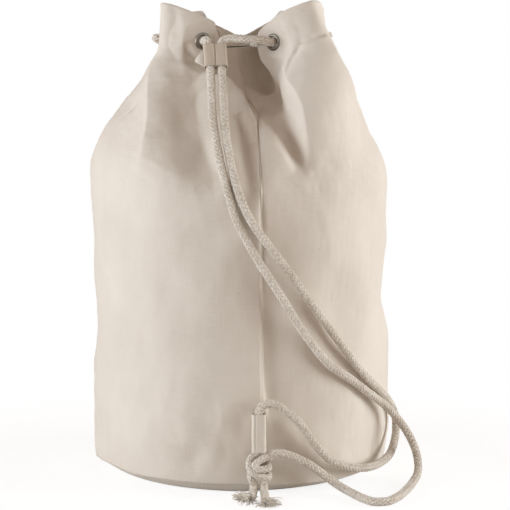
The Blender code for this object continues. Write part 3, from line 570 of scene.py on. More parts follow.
# Folds pressed into the smooth bag. Each runs down the cloth through points of (thousandths of a
# turn, height in mm, share of its depth). Its left and right sides, as seen from outside, are
# lifted by so many mm, over so many mm, and meet within the edge's width. A crispness of 1 makes
# a sharp crest, and 2 a round one.
bagFolds = [
    # the big fold that comes down from under the slider to the seam
    (17, 17, 17, 3, 0.9, 1, [(-54, 379, 0), (-45, 373, 0.6), (-32, 365, 1), (-18, 356, 1), (-5, 348, 1),
        (7, 339, 0.8), (13, 329, 0.3), (17, 317, 0)]),
    (0, -7, 3, 13, 0.9, 2, [(-54, 379, 0), (-45, 373, 0.6), (-32, 365, 1), (-18, 356, 1), (-5, 348, 1),
        (7, 339, 0.8), (13, 329, 0.3), (17, 317, 0)]),
    # the deep diagonal valley right of it, the ridge beyond and the hollow beyond that
    (-15, -15, 13, 7, 2, 2, [(7, 382, 0), (21, 372, 0.6), (38, 360, 1), (49, 348, 1), (57, 335, 1),
        (62, 322, 1), (67, 310, 0.85), (70, 299, 0.4), (72, 287, 0)]),
    (4, 4, 12, 7, 2, 2, [(4, 347, 0), (17, 338, 0.8), (30, 328, 1), (39, 316, 1), (48, 303, 0.8),
        (56, 290, 0)]),
    (6.5, 6.5, 7, 20, 1.4, 1, [(68, 390, 0), (74, 379, 0.6), (76, 367, 1), (80, 356, 1), (81, 344, 1),
        (79, 329, 1), (77, 314, 0.9), (75, 300, 0.6), (74, 282, 0)]),
    (4, 4, 13, 22, 3, 2, [(86, 391, 0), (89, 379, 0.8), (93, 368, 1), (96, 355, 1), (97, 342, 0.9),
        (95, 326, 0.6), (92, 308, 0)]),
    (-6, -6, 10, 10, 3, 2, [(42, 395, 0.3), (51, 383, 1), (51, 370, 1), (52, 357, 0.4), (55, 347, 0)]),
    # the dark finger of a fold between the front eyelets, and the hollow beside it
    (-18, -18, 5, 5.5, 2, 2, [(7, 404, 0.4), (9, 393, 1), (12, 380, 1), (16, 372, 0.8), (21, 361, 0)]),
    (-9, -9, 6, 12, 3, 2, [(-15, 399, 0.6), (-12, 388, 1), (-6, 378, 1), (3, 366, 0.4), (12, 359, 0)]),
    # where the front of the left lobe turns in beside its eyelet
    (1.5, -6, 5, 10, 1.2, 2, [(-49, 430, 0.8), (-47, 414, 1), (-46, 404, 1), (-45, 392, 0)]),
    # the crease down the upper left, the flat panel beside it and the edge of the shoulder below
    (10, 10, 10, 32, 1.6, 1, [(-140, 420, 0), (-139, 402, 0.12), (-134, 386, 0.4), (-126, 370, 0.8),
        (-115, 352, 1), (-108, 335, 1), (-104, 317, 1), (-105, 301, 0.6), (-112, 286, 0)]),
    (-12, -12, 25, 14, 3, 2, [(-69, 383, 0), (-64, 372, 0.5), (-60, 358, 0.9), (-57, 344, 1), (-51, 329, 1),
        (-42, 312, 1.1), (-35, 298, 0.9), (-28, 283, 0.5), (-19, 268, 0)]),
    (-5, -5, 8, 8, 3, 2, [(-88, 404, 0), (-80, 399, 0.8), (-70, 391, 1), (-56, 383, 0)]),
    (3, 3, 26, 20, 3, 2, [(-125, 303, 0), (-105.5, 298.9, 0.9), (-82.7, 288.8, 1), (-53, 273.9, 1),
        (-29, 256.5, 0.7), (-15, 244, 0)]),
    # the soft hollow left of the seam, the small crease below it and the long soft one right of it
    (-6, -6, 9, 9, 3, 2, [(-1.2, 343, 0), (1.4, 326, 0.9), (4.6, 308, 1), (9.4, 287, 0.9), (11, 258, 0)]),
    (-1.5, -1.5, 3, 3, 1, 2, [(20, 264, 0), (21.5, 254, 1), (23, 242, 0)]),
    (-5, -5, 3, 22, 1.5, 2, [(27, 195, 0), (27, 175, 0.8), (27, 145, 1.1), (27.5, 118, 1.1),
        (28.5, 94, 0.9), (32, 74, 0.5), (38, 50, 0)]),
    (-3, -3, 34, 34, 5, 2, [(23, 292, 0), (23, 252, 0.7), (23, 212, 1), (24, 159, 1), (24, 105, 1),
        (25, 74, 0.7), (25, 51, 0)]),
    # the cloth right of the seam lies over the cloth left of it
    (0, 0.9, 5, 70, 0.6, 2, [(23.2, 5, 1), (23.6, 82, 1), (23, 180, 1), (22.2, 266, 1), (20.6, 320, 1),
        (17.8, 334, 0.6), (15, 348, 0)]),
    (-3, 0, 2.4, 3, 0.6, 2, [(23.2, 70, 0), (23.2, 95, 0.9), (23, 180, 0.9), (22, 262, 0.6),
        (20.4, 290, 0.6), (19.4, 312, 0.9), (16.8, 330, 1), (14.6, 342, 1), (12, 350, 0)]),
    (-2.5, -2.5, 1.8, 1.8, 1, 2, [(-9, 375, 0), (-8, 370, 1), (-4, 362, 1), (-1, 354, 0.5)]),
    # wrinkles of the right lobe
    (-1.8, 1.8, 4, 6, 0.9, 2, [(136, 410, 0), (120, 408, 0.8), (109, 405, 1), (99, 402, 0.9),
        (91, 397, 0)]),
    (1.4, -1.8, 6, 4, 0.9, 2, [(99, 402, 0), (91, 397, 1), (84, 389, 0.9), (78, 379, 0.5), (74, 370, 0)]),
    # soft pleats of the left lobe
    (1.2, 1.2, 6, 6, 2, 2, [(-121, 440, 0.4), (-121, 410, 0.8), (-119, 385, 0.7), (-117, 358, 0)]),
    (-1.6, -1.6, 6, 6, 2, 2, [(-103, 440, 0.8), (-101, 406, 1), (-93, 379, 0.6), (-84, 355, 0)]),
    (2, 2, 7, 5, 2, 2, [(82, 432, 0.8), (-72, 422, 1), (-72, 411, 0.8), (-77, 397, 0)]),
    (-2.5, -2.5, 20, 20, 4, 2, [(-200, 396, 0), (-202, 386, 0.8), (-207, 375, 1), (-215, 360, 0)]),
    (-2, -2, 9, 9, 2, 2, [(-62, 420, 0), (-66.7, 411, 1), (-75.9, 397, 1), (-76.3, 374, 0)]),
    (-0.8, -0.8, 3, 3, 1, 2, [(-134, 360, 0), (-155, 344, 1), (-186, 323, 0)]),
    # dents and slack creases of the body and the foot
    (-2, -2, 15, 15, 3, 2, [(-122, 74, 0), (-97, 81, 1), (-73, 78, 1), (-48, 68, 0)]),
    (1.6, 1.6, 5, 12, 1.6, 1, [(-97, 71, 0), (-80, 74, 1), (-59, 74, 1), (-42, 69, 0)]),
    (1.3, 1.3, 8, 4, 1.6, 1, [(-126, 51, 0), (-111, 42, 1), (-98, 36, 0.8), (-86, 31, 0)]),
    (-1.5, -1.5, 9, 9, 2, 2, [(-25, 46, 0), (-36, 40, 1), (-49, 32, 0.8), (-62, 24, 0)]),
    (1.3, 1.3, 5, 9, 1.6, 1, [(-22, 91, 0), (-19, 80, 1), (-18, 69, 1), (-21, 57, 0)]),
    (-1.4, -1.4, 22, 22, 3, 2, [(-84, 229, 0), (-70, 193, 1), (-66, 149, 1), (-75, 110, 0)]),
    (1.4, 1.4, 20, 20, 3, 2, [(-39, 210, 0), (-33, 177, 1), (-31, 132, 1), (-36, 96, 0)]),
    (-1.2, -1.2, 18, 18, 3, 2, [(98, 219, 0), (106, 173, 1), (103, 128, 1), (93, 91, 0)]),
    (1.2, 1.2, 7, 12, 1.8, 1, [(83, 264, 0), (92, 243, 1), (98, 219, 0.8), (99, 195, 0)]),
    # the edge that the right shoulder turns at
    (8, 8, 24, 8, 2, 1, [(132, 420, 0), (130, 406, 0.6), (130, 393, 1), (137, 379, 1), (146, 362, 1),
        (159, 346, 0.6), (169, 326, 0)]),
    # fuller and narrower stretches of the two sides
    (5, 5, 34, 34, 5, 2, [(222, 408, 0), (225, 385, 0.7), (228, 362, 1.3), (230, 345, 1), (232, 320, 0)]),
    (-7, -7, 50, 50, 5, 2, [(236, 300, 0), (238, 262, 0.3), (238, 225, 0.5), (238, 190, 0.9),
        (238, 160, 1.2), (238, 130, 0.5), (238, 100, 0)]),
    (-6, -6, 45, 45, 5, 2, [(-238, 262, 0), (-238, 225, 0.5), (-238, 185, 0.8), (-238, 155, 1.2),
        (-238, 130, 1.1), (-238, 95, 0.5), (-238, 55, 0)]),
    # gathers round the sides and the back, where the rope draws the cloth in
    (-3, -3, 9, 9, 2, 2, [(206, 395, 0), (203, 372, 1), (200, 340, 0.7), (196, 305, 0)]),
    (-3, -3, 9, 9, 2, 2, [(268, 400, 0), (272, 378, 1), (280, 345, 0.7), (292, 300, 0)]),
    (3.5, 3.5, 7, 9, 2, 1, [(338, 394, 0), (342, 378, 1), (350, 340, 0.7), (360, 300, 0)]),
    (-6, -6, 9, 9, 2, 2, [(376, 400, 0), (378, 380, 1), (380, 345, 0.9), (384, 285, 0)]),
    (4, 4, 9, 7, 2, 1, [(414, 394, 0), (412, 372, 1), (408, 335, 0.7), (404, 290, 0)]),
    (-5, -5, 8, 8, 2, 2, [(470, 396, 0), (466, 376, 1), (460, 345, 0.8), (452, 300, 0)]),
    (4, 4, 8, 8, 2, 1, [(497, 394, 0), (499, 374, 1), (503, 330, 0.8), (506, 270, 0)]),
    (-5, -5, 8, 8, 2, 2, [(532, 396, 0), (537, 376, 1), (545, 340, 0.8), (556, 290, 0)]),
    (4, 4, 7, 9, 2, 1, [(588, 394, 0), (590, 372, 1), (594, 335, 0.7), (600, 285, 0)]),
    (-6, -6, 9, 9, 2, 2, [(626, 398, 0), (622, 378, 1), (618, 345, 0.9), (612, 280, 0)]),
    (3.5, 3.5, 9, 7, 2, 1, [(662, 394, 0), (658, 376, 1), (650, 340, 0.7), (640, 300, 0)]),
    (-3, -3, 9, 9, 2, 2, [(732, 398, 0), (728, 376, 1), (720, 345, 0.7), (708, 300, 0)]),
    (-3, -3, 9, 9, 2, 2, [(786, 396, 0), (790, 374, 1), (796, 345, 0.6), (806, 315, 0)]),
]

cloth = {
    "waves": ((1.0, 80, 3), (0.36, 27, 7), (0.08, 9, 11)),  # height and size in mm, and seed
    # the middle waves are weakest halfway up, stronger where the mouth draws in and at the foot
    "wavesLeast": 0.45,
    "wavesDrawn": 0.55,
    "drawnFrom": 0.24,
    "drawnOver": 0.12,
    "wavesLow": 0.7,
    "lowUnder": 0.13,
    "pinch": 0.9 * mm,  # how deep the foot's seam pulls in, and over what height
    "pinchWide": 1.6 * mm,
    "footStill": 0.15,  # share of folds and waves at the foot's seam, and where all of them show
    "footFade": 25 * mm,
    "seatStill": 8.8 * mm,
    "seatFade": 9 * mm,
    "foldReach": {1: 5.5, 2: 2.6},  # for each crispness, in widths: further out a fold has died away
}


def ripples(points, size, seed):
    # a soft random height field: a few dozen waves of about one size in random directions
    dice = np.random.default_rng(seed)
    ways = dice.normal(size=(28, 3))
    ways *= (2 * np.pi / size / np.linalg.norm(ways, axis=1) * dice.uniform(0.7, 1.4, 28))[:, None]
    return np.sin(points @ ways.T + dice.uniform(0, 2 * np.pi, 28)).sum(axis=1) / math.sqrt(14)


def nearRoute(points, route, reach):
    # numbers of the points in a box this much bigger than the route's
    inside = (points > route.min(axis=0) - reach) & (points < route.max(axis=0) + reach)
    return np.flatnonzero(inside.all(axis=1))


def foldLift(points, outwards):
    lift = np.zeros(len(points))
    for leftLift, rightLift, leftWide, rightWide, edge, crisp, line in bagFolds:
        line = np.array(line, float)
        spine = plainPoint(line[:, 0] / 1000, line[:, 1] * mm)
        chosen = nearRoute(points, spine, cloth["foldReach"][crisp] * max(leftWide, rightWide) * mm)
        if not len(chosen):
            continue
        best = np.full(len(chosen), np.inf)
        side = np.zeros(len(chosen))
        share = np.zeros(len(chosen))
        for start, end, startShare, endShare in zip(spine, spine[1:], line[:, 2], line[1:, 2]):
            way = end - start
            part = np.clip((points[chosen] - start) @ way / (way @ way), 0, 1)
            away = points[chosen] - start - part[:, None] * way
            far = np.linalg.norm(away, axis=1)
            closer = far < best
            best[closer] = far[closer]
            turned = (np.cross(way, away) * outwards[chosen]).sum(axis=1)
            side[closer] = np.sign(turned[closer])
            share[closer] = (startShare + (endShare - startShare) * part)[closer]
        signed = side * best / mm
        onRight = 0.5 * (1 + np.tanh(signed / edge))
        height = onRight * rightLift * np.exp(-np.abs(signed / rightWide) ** crisp)
        height += (1 - onRight) * leftLift * np.exp(-np.abs(signed / leftWide) ** crisp)
        lift[chosen] += share * height * mm
    return lift


def seatFade(points):
    # 0 beside an eyelet's metal, 1 further off
    fade = np.ones(len(points))
    for centre, outward in seats:
        far = np.linalg.norm(points - centre, axis=1)
        fade = np.minimum(fade, np.clip((far - cloth["seatStill"]) / cloth["seatFade"], 0, 1) ** 2)
    return fade


def clothPoint(turn, height):
    # the finished outer face of the canvas
    turn, height = np.broadcast_arrays(np.asarray(turn, float), np.asarray(height, float))
    points = plainPoint(turn, height)
    outwards = outwardOf(plainPoint, turn, height)
    drawn = np.clip((height - cloth["drawnFrom"]) / cloth["drawnOver"], 0, 1)
    low = np.clip(1 - height / cloth["lowUnder"], 0, 1)
    strength = cloth["wavesLeast"] + cloth["wavesDrawn"] * drawn + cloth["wavesLow"] * low
    lift = foldLift(points, outwards)
    for (high, size, seed), share in zip(cloth["waves"], (1, strength, 1)):
        lift += high * mm * ripples(points, size * mm, seed) * share
    aboveSeam = height - footSeam(turn)
    foot = np.clip(aboveSeam / cloth["footFade"], 0, 1)
    lift -= cloth["pinch"] * np.exp(-np.abs(aboveSeam) / cloth["pinchWide"])
    lift *= seatFade(points) * (cloth["footStill"] + (1 - cloth["footStill"]) * foot)
    return points + outwards * lift[:, None]


def pressed(points, outwards, routes, radius, margin=9 * mm, batch=3000):
    # pushes the cloth in where a rope lies against it
    for route in routes:
        chosen = nearRoute(points, route, radius + margin)
        for some in np.array_split(chosen, max(1, len(chosen) // batch)):
            if not len(some):
                continue
            away = points[some][:, None] - route[None]
            nearest = np.linalg.norm(away, axis=2).argmin(axis=1)
            gap = points[some] - route[nearest]
            inward = -(gap * outwards[some]).sum(axis=1)
            sideways = np.sqrt(np.maximum((gap**2).sum(axis=1) - inward**2, 0))
            wanted = np.sqrt(np.maximum(radius**2 - sideways**2, 0))
            push = np.where(sideways < radius, np.clip(wanted - inward, 0, None), 0)
            points[some] -= outwards[some] * push[:, None]
    return points


# The rope's routes in mm, as the frame's ropes run

leftStrandRoute = np.array([
    (-32.4, -75.0, 405.0), (-31.7, -76.9, 405.0), (-30.3, -80.7, 406.1), (-28.6, -84.0, 405.2),
    (-27.3, -84.6, 401.4), (-27.1, -86.3, 398.1), (-26.9, -88.2, 394.4), (-26.7, -90.1, 390.8),
    (-25.9, -96.8, 377.9), (-25.2, -103.4, 365.1), (-24.5, -110.1, 352.3), (-23.7, -116.7, 339.5),
    (-22.1, -123.2, 326.7), (-19.7, -129.6, 313.9), (-17.1, -135.7, 301.1), (-13.8, -141.2, 288.1),
    (-10.3, -144.7, 274.5), (-6.5, -146.2, 260.6), (-1.8, -146.5, 247.0), (4.7, -146.7, 234.1),
    (11.6, -146.9, 221.3), (18.8, -146.4, 208.8), (26.6, -145.2, 196.7), (34.4, -143.5, 184.7),
    (41.8, -141.3, 172.4), (48.9, -138.5, 160.1), (56.5, -135.1, 148.3), (64.4, -131.2, 136.9),
    (72.6, -127.0, 125.7), (81.4, -121.8, 115.5), (91.1, -114.6, 107.6), (100.8, -106.6, 100.5),
    (109.5, -97.9, 92.9), (117.5, -88.3, 85.6), (125.4, -78.5, 78.4), (133.6, -69.1, 71.2),
    (142.0, -62.1, 61.8), (150.8, -59.5, 50.7), (158.3, -60.1, 38.4), (163.7, -63.1, 25.4),
    (165.1, -71.4, 14.0), (162.9, -84.1, 7.6), (158.8, -97.7, 5.0), (155.1, -111.7, 4.2),
    (151.4, -125.7, 4.2), (147.5, -139.6, 4.2), (143.0, -153.3, 4.2), (137.4, -166.7, 4.2),
    (129.8, -178.9, 4.2), (117.6, -180.7, 4.2), (109.7, -168.6, 4.2), (103.7, -155.5, 4.4),
    (97.3, -142.6, 5.3), (88.0, -132.5, 9.1), (76.5, -132.5, 17.5), (73.3, -133.9, 20.2),
    (70.2, -135.4, 22.8), (67.0, -136.8, 25.4), (63.7, -138.2, 27.9), (60.3, -139.7, 30.1),
    (56.8, -141.1, 32.2), (53.2, -142.6, 34.3), (49.5, -144.0, 36.2), (45.7, -145.3, 37.9),
    (41.8, -146.4, 39.4), (37.7, -147.4, 40.4), (33.4, -148.3, 40.6), (29.2, -149.0, 39.9),
    (26.1, -148.8, 37.1),
]) * mm
rightStrandRoute = np.array([
    (29.0, -73.9, 404.1), (27.7, -75.4, 404.1), (25.3, -79.1, 405.1), (21.8, -81.9, 405.8),
    (17.6, -83.5, 406.1), (13.2, -84.8, 406.3), (8.7, -85.5, 406.6), (4.2, -85.6, 406.8),
    (-0.4, -85.6, 407.1), (-4.9, -85.2, 407.4), (-9.4, -84.7, 407.3), (-13.8, -83.8, 406.2),
    (-16.6, -84.2, 402.8), (-17.0, -85.7, 399.3), (-16.8, -87.8, 395.3), (-16.5, -89.9, 391.2),
    (-15.8, -96.5, 378.4), (-15.0, -103.2, 365.6), (-14.3, -109.8, 352.9), (-13.5, -116.4, 340.1),
    (-12.4, -122.9, 327.2), (-10.7, -129.3, 314.4), (-8.3, -135.5, 301.6), (-5.5, -141.3, 288.7),
    (-1.8, -145.3, 275.4), (3.3, -146.8, 261.9), (9.6, -147.0, 249.0), (17.6, -146.8, 236.9),
    (26.1, -145.4, 225.4), (34.6, -143.6, 213.9), (43.2, -140.3, 202.8), (51.2, -137.0, 191.2),
    (59.1, -133.9, 179.5), (66.9, -130.3, 168.0), (74.9, -125.9, 156.8), (82.8, -120.8, 145.8),
    (90.4, -115.1, 135.0), (97.8, -108.8, 124.3), (105.0, -101.9, 113.8), (112.2, -93.9, 104.3),
    (119.3, -84.6, 95.9), (125.9, -74.4, 88.0), (131.8, -63.4, 80.8), (137.3, -52.3, 73.4),
    (142.5, -42.7, 64.1), (146.3, -36.8, 51.6), (146.1, -39.3, 37.7), (143.0, -49.1, 27.9),
    (138.4, -61.4, 22.1), (131.8, -73.8, 18.9), (123.7, -85.7, 17.2), (115.0, -97.1, 17.4),
    (105.7, -107.9, 19.6), (95.3, -117.3, 23.1), (84.4, -125.2, 28.4), (74.7, -130.9, 37.3),
    (66.1, -135.2, 48.0), (58.5, -138.4, 59.8), (49.7, -141.6, 70.8), (38.9, -145.0, 79.7),
    (35.3, -145.7, 82.0), (31.5, -146.5, 84.2), (27.4, -147.1, 85.2), (23.2, -147.3, 84.2),
    (19.3, -147.2, 82.2), (17.5, -147.4, 78.4), (17.3, -147.6, 74.1), (17.3, -147.7, 69.7),
    (17.4, -147.8, 65.3), (17.4, -147.9, 61.0), (17.4, -148.1, 56.6), (17.4, -148.2, 52.2),
    (17.4, -148.3, 47.9), (17.4, -148.4, 43.5), (17.4, -148.5, 40.9),
]) * mm
mouthRoute = np.array([
    (29.2, -73.6, 404.1), (34.7, -67.1, 403.9), (40.7, -61.1, 404.8), (46.9, -55.4, 406.1),
    (53.1, -49.7, 407.4), (59.2, -43.8, 408.7), (65.5, -38.2, 409.9), (73.5, -37.3, 410.0),
    (81.8, -37.4, 410.1), (84.8, -34.2, 409.9), (83.2, -25.8, 409.3), (81.5, -17.4, 408.7),
    (79.7, -9.1, 408.1), (78.0, -0.7, 407.5), (76.5, 7.6, 407.0), (75.0, 16.0, 406.4),
    (73.4, 24.4, 405.8), (71.7, 32.8, 405.2), (67.8, 36.0, 404.9), (60.4, 32.5, 405.0),
    (53.0, 30.0, 405.0), (46.9, 36.0, 404.6), (41.4, 42.5, 404.2), (35.6, 48.8, 403.8),
    (29.8, 55.1, 403.3), (24.1, 61.4, 402.9), (20.0, 68.9, 403.0), (16.4, 76.4, 403.0),
    (8.0, 77.1, 403.0), (-0.6, 76.9, 403.0), (-9.1, 77.1, 403.0), (-17.1, 75.6, 403.0),
    (-20.5, 67.9, 403.0), (-24.8, 60.6, 403.0), (-30.5, 54.2, 403.4), (-36.2, 47.8, 403.8),
    (-41.8, 41.4, 404.2), (-47.3, 34.9, 404.6), (-53.1, 28.6, 405.0), (-60.2, 30.0, 405.0),
    (-68.3, 32.6, 405.0), (-72.5, 31.4, 405.1), (-73.8, 23.0, 405.5), (-74.8, 14.5, 405.9),
    (-75.9, 6.0, 406.3), (-77.1, -2.4, 406.7), (-78.4, -10.8, 407.1), (-79.7, -19.3, 407.5),
    (-80.8, -27.7, 407.9), (-78.0, -32.2, 408.1), (-69.8, -32.5, 408.0), (-61.9, -33.9, 408.0),
    (-56.2, -40.2, 407.4), (-50.8, -46.8, 406.7), (-45.1, -53.2, 406.0), (-39.5, -59.6, 405.4),
    (-34.9, -66.6, 404.9), (-32.5, -74.7, 405.0),
]) * mm
leftTailRoute = np.array([
    (13.1, -148.5, 13.0), (12.9, -149.1, 8.9), (12.2, -151.8, 6.0), (11.6, -155.8, 4.7),
    (11.0, -159.9, 4.3), (10.5, -164.0, 4.2),
]) * mm
rightTailRoute = np.array([
    (21.7, -148.5, 13.0), (21.9, -149.2, 8.7), (22.4, -152.5, 5.8), (22.8, -156.7, 4.7),
    (22.9, -161.2, 4.3), (22.9, -165.6, 4.2), (22.9, -170.1, 4.2), (22.8, -174.6, 4.2),
    (22.6, -179.0, 4.2),
]) * mm

rope = {
    "radius": 4.0 * mm,
    "yarnPairs": 6,
    "pitch": 23 * mm,
    "crimp": 0.33 * mm,
    "yarnWide": 1.28 * mm,
    "yarnThick": 0.80 * mm,
    "ring": 0.62 * mm,
    "uneven": 0.35 * mm,
    "pathStep": 1.5 * mm,
    # the held rope bends closer round each eyelet than its smooth route does
    "closeWithin": 30 * mm,
    "closeFrom": 5.2 * mm,
    "closeShare": 0.92,
}


def braidTree():
    # A braid along a path: yarns wind both ways round it and pass over and under each other
    tree, got, line = newTree("ropeBraid", {
        "Radius": 0.004, "Yarn pairs": 6, "Pitch": 0.023, "Crimp": 0.0003, "Yarn half width": 0.0013,
        "Yarn half thickness": 0.0008, "Ring spacing": 0.0006, "Unevenness": 0.00012, "Seed": 1.0,
        "Material": None,
    })
    rings = addNode(tree, "GeometryNodeResampleCurve", {
        "Curve": line, "Length": got["Ring spacing"]}, mode="LENGTH")
    twice = addNode(tree, "ShaderNodeMath", [got["Yarn pairs"], 2.0], operation="MULTIPLY")
    yarns = addNode(tree, "GeometryNodeDuplicateElements", {
        "Geometry": rings, "Amount": twice}, domain="SPLINE")
    index = yarns.outputs["Duplicate Index"]
    odd = addNode(tree, "ShaderNodeMath", [index, 2.0], operation="MODULO")
    way = addNode(tree, "ShaderNodeMath", [odd, -2.0, 1.0], operation="MULTIPLY_ADD")
    number = addNode(tree, "ShaderNodeMath", [index, odd], operation="SUBTRACT")
    start = addNode(tree, "ShaderNodeMath", [number, twice], operation="DIVIDE")
    reach = addNode(tree, "GeometryNodeSplineParameter").outputs["Length"]
    turns = addNode(tree, "ShaderNodeMath", [reach, got["Pitch"]], operation="DIVIDE")
    wound = addNode(tree, "ShaderNodeMath", [turns, way, start], operation="MULTIPLY_ADD")
    angle = addNode(tree, "ShaderNodeMath", [wound, 2 * math.pi], operation="MULTIPLY")
    beat = addNode(tree, "ShaderNodeMath", [turns, got["Yarn pairs"]], operation="MULTIPLY")
    beatAngle = addNode(tree, "ShaderNodeMath", [beat, 2 * math.pi], operation="MULTIPLY")
    wave = addNode(tree, "ShaderNodeMath", [beatAngle], operation="COSINE")
    over = addNode(tree, "ShaderNodeMath", [wave, way], operation="MULTIPLY")
    crimp = addNode(tree, "ShaderNodeMath", [over, got["Crimp"]], operation="MULTIPLY")
    inside = addNode(tree, "ShaderNodeMath", [got["Radius"], got["Crimp"]], operation="SUBTRACT")
    middle = addNode(tree, "ShaderNodeMath", [inside, got["Yarn half thickness"]], operation="SUBTRACT")
    rough = addNode(tree, "ShaderNodeTexNoise", {
        "Scale": 300.0, "W": got["Seed"]}, noise_dimensions="4D")
    centred = addNode(tree, "ShaderNodeMath", [rough, 0.5], operation="SUBTRACT")
    uneven = addNode(tree, "ShaderNodeMath", [
        centred, got["Unevenness"], crimp], operation="MULTIPLY_ADD")
    out = addNode(tree, "ShaderNodeMath", [middle, uneven], operation="ADD")
    normal = addNode(tree, "GeometryNodeInputNormal").outputs[0]
    tangent = addNode(tree, "GeometryNodeInputTangent").outputs[0]
    side = addNode(tree, "ShaderNodeVectorMath", [tangent, normal], operation="CROSS_PRODUCT")
    cosine = addNode(tree, "ShaderNodeMath", [angle], operation="COSINE")
    sine = addNode(tree, "ShaderNodeMath", [angle], operation="SINE")
    first = addNode(tree, "ShaderNodeVectorMath", {0: normal, "Scale": cosine}, operation="SCALE")
    second = addNode(tree, "ShaderNodeVectorMath", {0: side, "Scale": sine}, operation="SCALE")
    radial = addNode(tree, "ShaderNodeVectorMath", [first, second], operation="ADD")
    kept = addNode(tree, "GeometryNodeStoreNamedAttribute", {
        "Name": "radial", "Geometry": yarns, "Value": radial}, data_type="FLOAT_VECTOR", domain="POINT")
    offset = addNode(tree, "ShaderNodeVectorMath", {0: radial, "Scale": out}, operation="SCALE")
    moved = addNode(tree, "GeometryNodeSetPosition", {"Geometry": kept, "Offset": offset})
    again = addNode(tree, "GeometryNodeInputNamedAttribute", {
        "Name": "radial"}, data_type="FLOAT_VECTOR")
    turned = addNode(tree, "GeometryNodeSetCurveNormal", {"Curve": moved, "Normal": again}, mode="FREE")
    circle = addNode(tree, "GeometryNodeCurvePrimitiveCircle", {"Resolution": 5, "Radius": 1.0})
    size = addNode(tree, "ShaderNodeCombineXYZ", [
        got["Yarn half thickness"], got["Yarn half width"], 1.0])
    profile = addNode(tree, "GeometryNodeTransform", {"Geometry": circle, "Scale": size})
    tubes = addNode(tree, "GeometryNodeCurveToMesh", {
        "Fill Caps": True, "Curve": turned, "Profile Curve": profile})
    coreSize = addNode(tree, "ShaderNodeMath", [middle, got["Crimp"]], operation="SUBTRACT")
    coreRound = addNode(tree, "GeometryNodeCurvePrimitiveCircle", {"Resolution": 8, "Radius": coreSize})
    coreLine = addNode(tree, "GeometryNodeResampleCurve", {
        "Length": 0.003, "Curve": line}, mode="LENGTH")
    core = addNode(tree, "GeometryNodeCurveToMesh", {
        "Fill Caps": True, "Curve": coreLine, "Profile Curve": coreRound})
    both = addNode(tree, "GeometryNodeJoinGeometry")
    tree.links.new(tubes.outputs[0], both.inputs[0])
    tree.links.new(core.outputs[0], both.inputs[0])
    soft = addNode(tree, "GeometryNodeSetShadeSmooth", {"Geometry": both, "Shade Smooth": True})
    return endTree(tree, soft, got["Material"])


braid = braidTree()


def braided(name, route, seed, radius=None):
    path = evenPath(route, rope["pathStep"])
    thick = (radius or rope["radius"]) / rope["radius"]
    piece = grown(name, pathMesh(name + "Path", path), braid, {
        "Radius": rope["radius"] * thick, "Yarn pairs": rope["yarnPairs"], "Pitch": rope["pitch"] * thick,
        "Crimp": rope["crimp"] * thick, "Yarn half width": rope["yarnWide"] * thick,
        "Yarn half thickness": rope["yarnThick"] * thick, "Ring spacing": rope["ring"],
        "Unevenness": rope["uneven"], "Seed": float(seed), "Material": ropeCotton,
    })
    return piece, path


def drawnClose(route):
    for centre, outward in seats[1:-1]:
        away = route - centre
        near = np.linalg.norm(away, axis=1) < rope["closeWithin"]
        over = np.clip(away @ outward - rope["closeFrom"], 0, None) * near
        route = route - (over * rope["closeShare"])[:, None] * outward
    return route


strandLeft, leftPath = braided("strandLeft", leftStrandRoute, 1)
strandRight, rightPath = braided("strandRight", rightStrandRoute, 2)
mouthRope = braided("mouthRope", drawnClose(mouthRoute), 3)[0]
tailLeft = braided("tailLeft", leftTailRoute, 4)[0]
tailRight = braided("tailRight", rightTailRoute, 5)[0]
print("rope braided:", [len(thing.data.polygons) for thing in (strandLeft, strandRight, mouthRope)])


# The knot, as the two ropes cross and wrap in it, in mm from its middle

knot = {
    "middle": np.array((17.4, -148.5, 27.0)),
    "radius": 3.5 * mm,
    "firstWrap": [
        (0, 0, 16), (-2.5, 1.5, 12.5), (-6.5, 0.5, 9.5), (-8.6, -2.5, 4.5), (-7.2, -5.2, -0.5),
        (-2.5, -6.2, -4.2), (3.5, -5.4, -6.6), (8.2, -1.5, -7.4), (7.6, 3.2, -5.0), (2.5, 5.2, -1.5),
        (-4.0, 4.6, -1.5), (-7.6, 1.0, -5.0), (-6.2, -2.0, -9.5), (-4.3, -0.5, -14.0),
    ],
    "secondWrap": [
        (9.5, -0.5, 10.5), (6.0, -3.0, 10.6), (1.5, -5.2, 8.6), (-3.4, -6.4, 5.0), (-1.0, -8.0, 1.2),
        (4.6, -6.8, 0.6), (8.4, -2.6, 1.6), (7.2, 3.0, 4.0), (2.0, 5.6, 6.0), (-4.5, 4.6, 5.5),
        (-6.0, 2.0, 0.0), (-1.0, 0.5, -5.0), (3.6, -0.4, -9.0), (4.3, 0, -14.0),
    ],
}
wraps = []
for wrapName, wrapSeed in (("firstWrap", 6), ("secondWrap", 7)):
    wrapRoute = (np.array(knot[wrapName]) + knot["middle"]) * mm
    wraps.append(braided(wrapName, wrapRoute, wrapSeed, radius=knot["radius"])[0])
endKnot = joined("endKnot", wraps)
print("knot tied")


